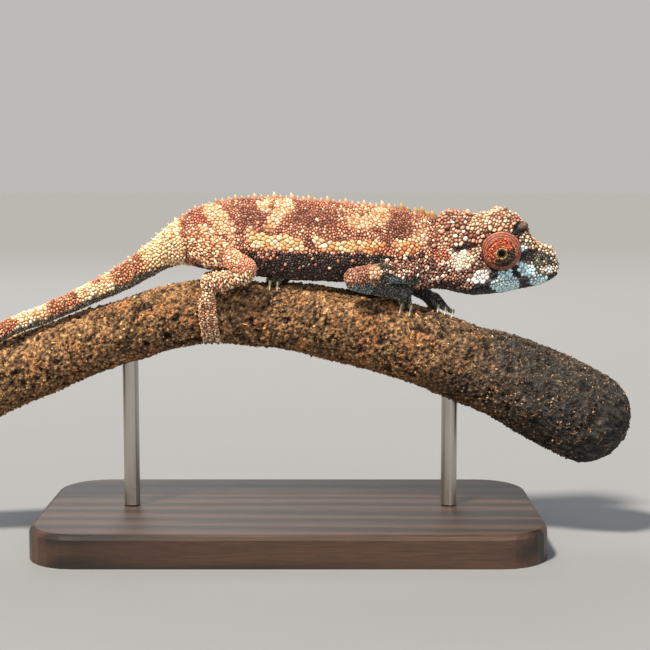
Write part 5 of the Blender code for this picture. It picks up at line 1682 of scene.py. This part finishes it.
def buildFibres(points, facing, relief, tint):
    # loose fibres of bark, lying nearly flat
    draw = np.random.default_rng(fibres["seed"])
    weights = (0.2 + smoothStep(0.0, 0.6, relief)) * (0.35 + smoothStep(-5, 40, points[:, 0]))
    p, n, tint = barkChoice(points, facing, tint, fibres["count"], draw, weights)
    tint = tint * (1.0, 0.8, 0.6) * 1.5
    along, across = sidesOf(n, draw)
    length = draw.uniform(*fibres["length"], (len(p), 1)) * draw.uniform(0.4, 1, (len(p), 1))
    width = draw.uniform(*fibres["width"], (len(p), 1))
    tilt, curl = draw.uniform(-0.02, 0.16, (len(p), 1)), draw.uniform(-0.2, 0.2, (len(p), 1))
    rows = []
    for t, size in ((-0.5, 0.5), (-0.1, 1.0), (0.3, 0.85), (0.5, 0.25)):
        middle = p + along * length * t + n * (0.08 + tilt * length * (t + 0.5) * 0.5)
        middle = middle + across * curl * length * t * t
        for a, b in ((1, 0), (0, 1), (-1, 0), (0, -1)):
            rows.append(middle + across * width * size * a * 0.5 + n * width * size * b * 0.3)
    made = insideBox(np.stack(rows, 1).reshape(-1, 3))
    faces = np.array(tubeFaces(4, 4, 0))[None] + (np.arange(len(p)) * 16)[:, None, None]
    piece = newObject("branch_fibres", made, faces.reshape(-1, 4), np.repeat(tint, 16, axis=0))
    fixFacing(piece)
    return piece


# Materials

def tintedMaterial(name, roughness, specular, bumpSize, bumpStrength, variation=0.25, coat=0.0,
                   mottleSize=0.45):
    # painted by the mesh's own colours, broken up by fine mottling and a fine bump; sizes in millimetres
    material, tree, shader, place = newMaterial(name)
    tint = addNode(tree, "Attribute", {}, attribute_name="tint").outputs["Color"]
    mottle = addNode(tree, "TexNoise", {"Vector": place, "Scale": 1 / (mottleSize * mm), "Detail": 3.0,
                                        "Roughness": 0.6})
    cloud = {"Value": mottle.outputs["Fac"], "From Min": 0.3, "From Max": 0.7}
    shade = addNode(tree, "MapRange", {**cloud, "To Min": 1 - variation, "To Max": 1 + variation})
    colour = addNode(tree, "VectorMath", {0: tint, "Scale": shade.outputs["Result"]}, operation="SCALE")
    rough = addNode(tree, "MapRange", {**cloud, "To Min": roughness - 0.1, "To Max": roughness + 0.1})
    fine = addNode(tree, "TexNoise", {"Vector": place, "Scale": 1 / (bumpSize * mm), "Detail": 4.0})
    lift = addNode(tree, "Bump", {"Height": fine.outputs["Fac"], "Strength": bumpStrength,
                                  "Distance": bumpSize * mm * 0.5})
    setSockets(tree, shader, {
        "Base Color": colour.outputs["Vector"], "Roughness": rough.outputs["Result"],
        "Normal": lift.outputs["Normal"], "Specular IOR Level": specular, "Coat Weight": coat,
        "Coat Roughness": 0.15,
    })
    return material


def hornMaterial(name, low, high, ringSize):
    # keratin: dull and cloudy, paler where it is worn
    material, tree, shader, place = newMaterial(name)
    cloud = addNode(tree, "TexNoise", {"Vector": place, "Scale": 1 / (ringSize * mm), "Detail": 4.0})
    ramp = addNode(tree, "ValToRGB", {"Fac": cloud.outputs["Fac"]})
    for stop, position, colour in zip(ramp.color_ramp.elements, (0.35, 0.66), (low, high)):
        stop.position, stop.color = position, linear(colour)
    lift = addNode(tree, "Bump", {"Height": cloud.outputs["Fac"], "Strength": 0.4, "Distance": 0.06 * mm})
    setSockets(tree, shader, {"Base Color": ramp.outputs["Color"], "Roughness": 0.48,
                              "Normal": lift.outputs["Normal"]})
    return material


def woodMaterial():
    # dark stained beech, sanded and waxed: long fine grain along the base with a satin gloss
    material, tree, shader, place = newMaterial("stainedBeech")
    stretch = addNode(tree, "VectorMath", {0: place, 1: (0.06, 1.0, 1.0)}, operation="MULTIPLY")
    pores = addNode(tree, "TexNoise", {"Vector": stretch.outputs["Vector"], "Scale": 1 / (0.5 * mm),
                                       "Detail": 5.0, "Roughness": 0.65}).outputs["Fac"]
    figure = addNode(tree, "TexWave", {"Vector": stretch.outputs["Vector"], "Scale": 1 / (26 * mm),
                                       "Distortion": 9.0, "Detail": 3.0, "Detail Scale": 1.5},
                     bands_direction="Y")
    both = addNode(tree, "Math", {0: pores, 1: figure.outputs["Fac"]}, operation="MULTIPLY")
    ramp = addNode(tree, "ValToRGB", {"Fac": both.outputs["Value"]})
    for stop, position, colour in zip(ramp.color_ramp.elements, (0.08, 0.62), ("#1e1511", "#4a3427")):
        stop.position, stop.color = position, linear(colour)
    rough = addNode(tree, "MapRange", {"Value": pores, "To Min": 0.5, "To Max": 0.34})
    lift = addNode(tree, "Bump", {"Height": pores, "Strength": 0.25, "Distance": 0.08 * mm})
    setSockets(tree, shader, {"Base Color": ramp.outputs["Color"], "Roughness": rough.outputs["Result"],
                              "Normal": lift.outputs["Normal"]})
    return material


def steelMaterial():
    # stainless steel rod, drawn and brushed: fine rings round it that stretch the highlight
    material, tree, shader, place = newMaterial("brushedStainlessSteel")
    squeeze = addNode(tree, "VectorMath", {0: place, 1: (0.08, 0.08, 1.0)}, operation="MULTIPLY")
    lines = addNode(tree, "TexNoise", {"Vector": squeeze.outputs["Vector"], "Scale": 1 / (0.12 * mm),
                                       "Detail": 2.0}).outputs["Fac"]
    rough = addNode(tree, "MapRange", {"Value": lines, "To Min": 0.22, "To Max": 0.42})
    lift = addNode(tree, "Bump", {"Height": lines, "Strength": 0.15, "Distance": 0.02 * mm})
    setSockets(tree, shader, {"Base Color": linear("#b9b4ac"), "Metallic": 1.0,
                              "Roughness": rough.outputs["Result"], "Normal": lift.outputs["Normal"]})
    return material


studio = {
    "floorSize": 16.0, "paper": "#7d8085", "air": "#e9e7e3", "airStrength": 0.62,
    # kind, place, what it shines towards, strength, colour and how wide it is;
    # the key is a soft overhead light, a little from the left and the front, that draws out every granule
    "lamps": {
        "key": ("SUN", (0, 0, 0), (0.42, 0.52, -1.0), 6.6, "#fff2df", {"angle": math.radians(8.0)}),
        "fill": ("AREA", (0.5, -0.9, 0.45), (0, 0, 0.06), 3.2, "#f2f5ff", {"shape": "DISK", "size": 0.8}),
        "back": ("AREA", (-0.2, 0.8, 0.8), (0, 0, 0.06), 4.0, "#ffffff", {"shape": "DISK", "size": 0.6}),
    },
    "target": (0.00875, 0.0, 0.05375), "distance": 0.35, "rise": 6.0, "viewAngle": 26.13,
}


def paperMaterial():
    # a sweep of matt paper: pale grey and even, with no gloss to catch the lamps
    material, tree, shader, place = newMaterial("mattPaper")
    fibre = addNode(tree, "TexNoise", {"Vector": place, "Scale": 60.0, "Detail": 3.0})
    shade = addNode(tree, "MapRange", {"Value": fibre.outputs["Fac"], "To Min": 0.97, "To Max": 1.0})
    colour = addNode(tree, "VectorMath", {0: rgb(studio["paper"]), "Scale": shade.outputs["Result"]},
                     operation="SCALE")
    setSockets(tree, shader, {"Base Color": colour.outputs["Vector"], "Roughness": 0.9})
    return material


# Building

line = trunkLine()
raw, clawLines, toeLines = rawForms(line)
points, quads = largestPart(*remeshed(raw))
report(f"skin remeshed, {len(quads)} quads")
points = smoothed(points, quads, skin["smoothing"])
triangles = np.concatenate([quads[:, (0, 1, 2)], quads[:, (0, 2, 3)]])
rawTree = treeOf(raw["points"])
nearest = np.array([rawTree.find(p)[1] for p in points.tolist()])
part, place, along = (raw[key][nearest] for key in ("part", "place", "along"))
normals = pointNormals(points, triangles)
points = points + normals * carved(points, normals, part, place, toeLines)[:, None]
points = smoothed(points, quads, 1)
normals = pointNormals(points, triangles)
report("skin carved")

mottle = 0.8 + 0.35 * (grain(points, 0.9, 9.0) + 1) / 2
skinTint = toneGaps[kindsOf(line, points, normals, part, place)] * mottle[:, None]
# the pale edge of the upper lip
lipEdge = bump(mouthDistance(points[:, 0], points[:, 2]) - 0.14, 0.16) * (part == partIndex["head"])
lipEdge = (lipEdge * smoothStep(47.5, 51.5, points[:, 0]))[:, None]
skinTint = blend(skinTint, rgb(skin["lipEdge"]), lipEdge)
skinPiece = newObject("skin", points, quads, skinTint)
only(skinPiece)
bpy.ops.object.mode_set(mode="EDIT")
bpy.ops.mesh.select_all(action="SELECT")
bpy.ops.uv.smart_project(angle_limit=math.radians(66), island_margin=0.001)
bpy.ops.object.mode_set(mode="OBJECT")
skinPiece.data.uv_layers[0].name = "OFBake"
report("skin unwrapped")

scales = scatter(line, points, normals, triangles, (part, place, along), toeLines)
plates = (toneBlunt[scales["kind"]] >= scaleShape["plateFrom"]) & ~scales["lip"]
outlines = {isPlate: scaleOutlines(scales, *scaleShape["plates" if isPlate else "beads"])
            for isPlate in (False, True)}
report("scales outlined")

# each scale's place on the skin's own unwrap
skinTree = BVHTree.FromPolygons(points.tolist(), quads.tolist())
loopUv = np.zeros(len(skinPiece.data.loops) * 2)
skinPiece.data.uv_layers["OFBake"].data.foreach_get("uv", loopUv)
faceOf = np.array([skinTree.find_nearest(p)[2] for p in scales["p"].tolist()])
weight = 1 / (np.linalg.norm(points[quads[faceOf]] - scales["p"][:, None], axis=2) + 1e-6) ** 2
weight = (weight / weight.sum(1)[:, None])[:, :, None]
rootUv = (loopUv.reshape(-1, 4, 2)[faceOf] * weight).sum(1)
report("scales placed on the unwrap")

# dry keratin: small matt highlights, one on each scale
scaleKeratin = tintedMaterial("keratinScale", 0.55, 0.35, 0.16, 0.35)
# bare skin between the scales: duller than they are and finely folded
skinBetween = tintedMaterial("foldedSkin", 0.75, 0.25, 0.3, 0.5)
fleshNames = ("head", "jaw", "neck", "torso", "tail_", "front_", "rear_")
finishPiece(skinPiece, skinBetween, [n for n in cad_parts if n.startswith(fleshNames)])
onTrunk, (x, y, z) = scales["part"] == partIndex["trunk"], scales["p"].T
onBody, high = onTrunk & (x >= scaleShape["tailFrom"]), z >= scaleShape["backFrom"]
regions = {
    "head": scales["part"] == partIndex["head"],
    "legs": np.isin(scales["part"], [partIndex[n] for n in limbs]),
    "feet": scales["part"] >= partIndex["front_right_foot_sole"],
    "tail": onTrunk & ~onBody,
    "back_right": onBody & high & (y < 0),
    "back_left": onBody & high & (y >= 0),
    "flank_right": onBody & ~high & (y < 0),
    "flank_left": onBody & ~high & (y >= 0),
}
for name, chosen in regions.items():
    piece = buildScales(f"scales_{name}", scales, chosen, plates, outlines, rootUv)
    finishPiece(piece, scaleKeratin)
report("scales built")

finishPiece(buildCrest(line), scaleKeratin)
# thin skin over the turret: a little smoother than the scales, with a soft sheen on its folds
lidSkin = tintedMaterial("eyelidSkin", 0.5, 0.4, 0.15, 0.4)
# a wet cornea: smooth and dark, with one sharp highlight
wetEye = tintedMaterial("wetCornea", 0.18, 0.15, 0.4, 0.0, 0.05)
for side, word in ((rightSide, "right"), (leftSide, "left")):
    folds, granules = buildTurret(side, word)
    finishPiece(folds, lidSkin, [f"eyelid_{word}"])
    finishPiece(granules, lidSkin)
    finishPiece(buildEyeball(side, word), wetEye, [f"eye_{word}"])
# dark, dull keratin in front of the eyes, and pale keratin like a nail's on the snout
browHorn = hornMaterial("budKeratin", "#2b211b", "#6b5645", 0.5)
snoutHorn = hornMaterial("snoutKeratin", "#9c7c5c", "#dcc19a", 0.5)
finishPiece(buildBud("horn_bud_rostral", buds["rostral"], 1), snoutHorn, ["horn_rostral"])
for side, word in ((rightSide, "right"), (leftSide, "left")):
    brow = buildBud(f"horn_bud_brow_{word}", buds["brow"], side)
    finishPiece(brow, browHorn, [f"horn_brow_{word}"])
# claws: denser, smoother keratin with a small gloss
finishPiece(buildClaws(clawLines), tintedMaterial("clawKeratin", 0.4, 0.4, 0.3, 0.2, 0.12))
report("crest, eyes, buds and claws")

# dry, crumbling bark: no gloss at all and a coarse, uneven face on every grain
crumblyBark = tintedMaterial("crumblyBark", 0.9, 0.15, 0.45, 1.0, 0.6, 0.0, 0.5)
perch, *bark = buildPerch()
finishPiece(perch, crumblyBark, ["perch"])
for piece in (*buildCrumbs(*bark), buildFibres(*bark)):
    finishPiece(piece, crumblyBark)
steel = steelMaterial()
for name, material in (("stand_base", woodMaterial()), ("stand_rod_rear", steel), ("stand_rod_front", steel)):
    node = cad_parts[name]
    node.data.materials.clear()
    node.data.materials.append(material)
report("perch and stand")

# Studio

bpy.ops.object.select_all(action="DESELECT")
bpy.ops.mesh.primitive_plane_add(size=studio["floorSize"])
floor = bpy.context.object
floor.name = "floor"
floor.data.materials.append(paperMaterial())
for name, (kind, place, target, strength, colour, spread) in studio["lamps"].items():
    data = bpy.data.lights.new(name, kind)
    data.energy, data.color = strength, rgb(colour)
    for key, value in spread.items():
        setattr(data, key, value)
    lamp = placed(name, data)
    lamp.location = place
    lamp.rotation_euler = (Vector(target) - Vector(place)).to_track_quat("-Z", "Y").to_euler()
world = bpy.data.worlds.new("studio")
bpy.context.scene.world = world
world.use_nodes = True
setSockets(world.node_tree, world.node_tree.nodes["Background"],
           {"Color": linear(studio["air"]), "Strength": studio["airStrength"]})

camera = placed("camera", bpy.data.cameras.new("camera"))
rise = math.radians(studio["rise"])
target = Vector(studio["target"])
camera.location = target + studio["distance"] * Vector((0, -math.cos(rise), math.sin(rise)))
camera.rotation_euler = (math.pi / 2 - rise, 0, 0)
camera.data.angle = math.radians(studio["viewAngle"])
camera.data.clip_start, camera.data.clip_end = 0.01, 50
bpy.context.scene.camera = camera
bpy.context.scene.view_settings.view_transform = "Standard"

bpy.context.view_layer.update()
report("done")
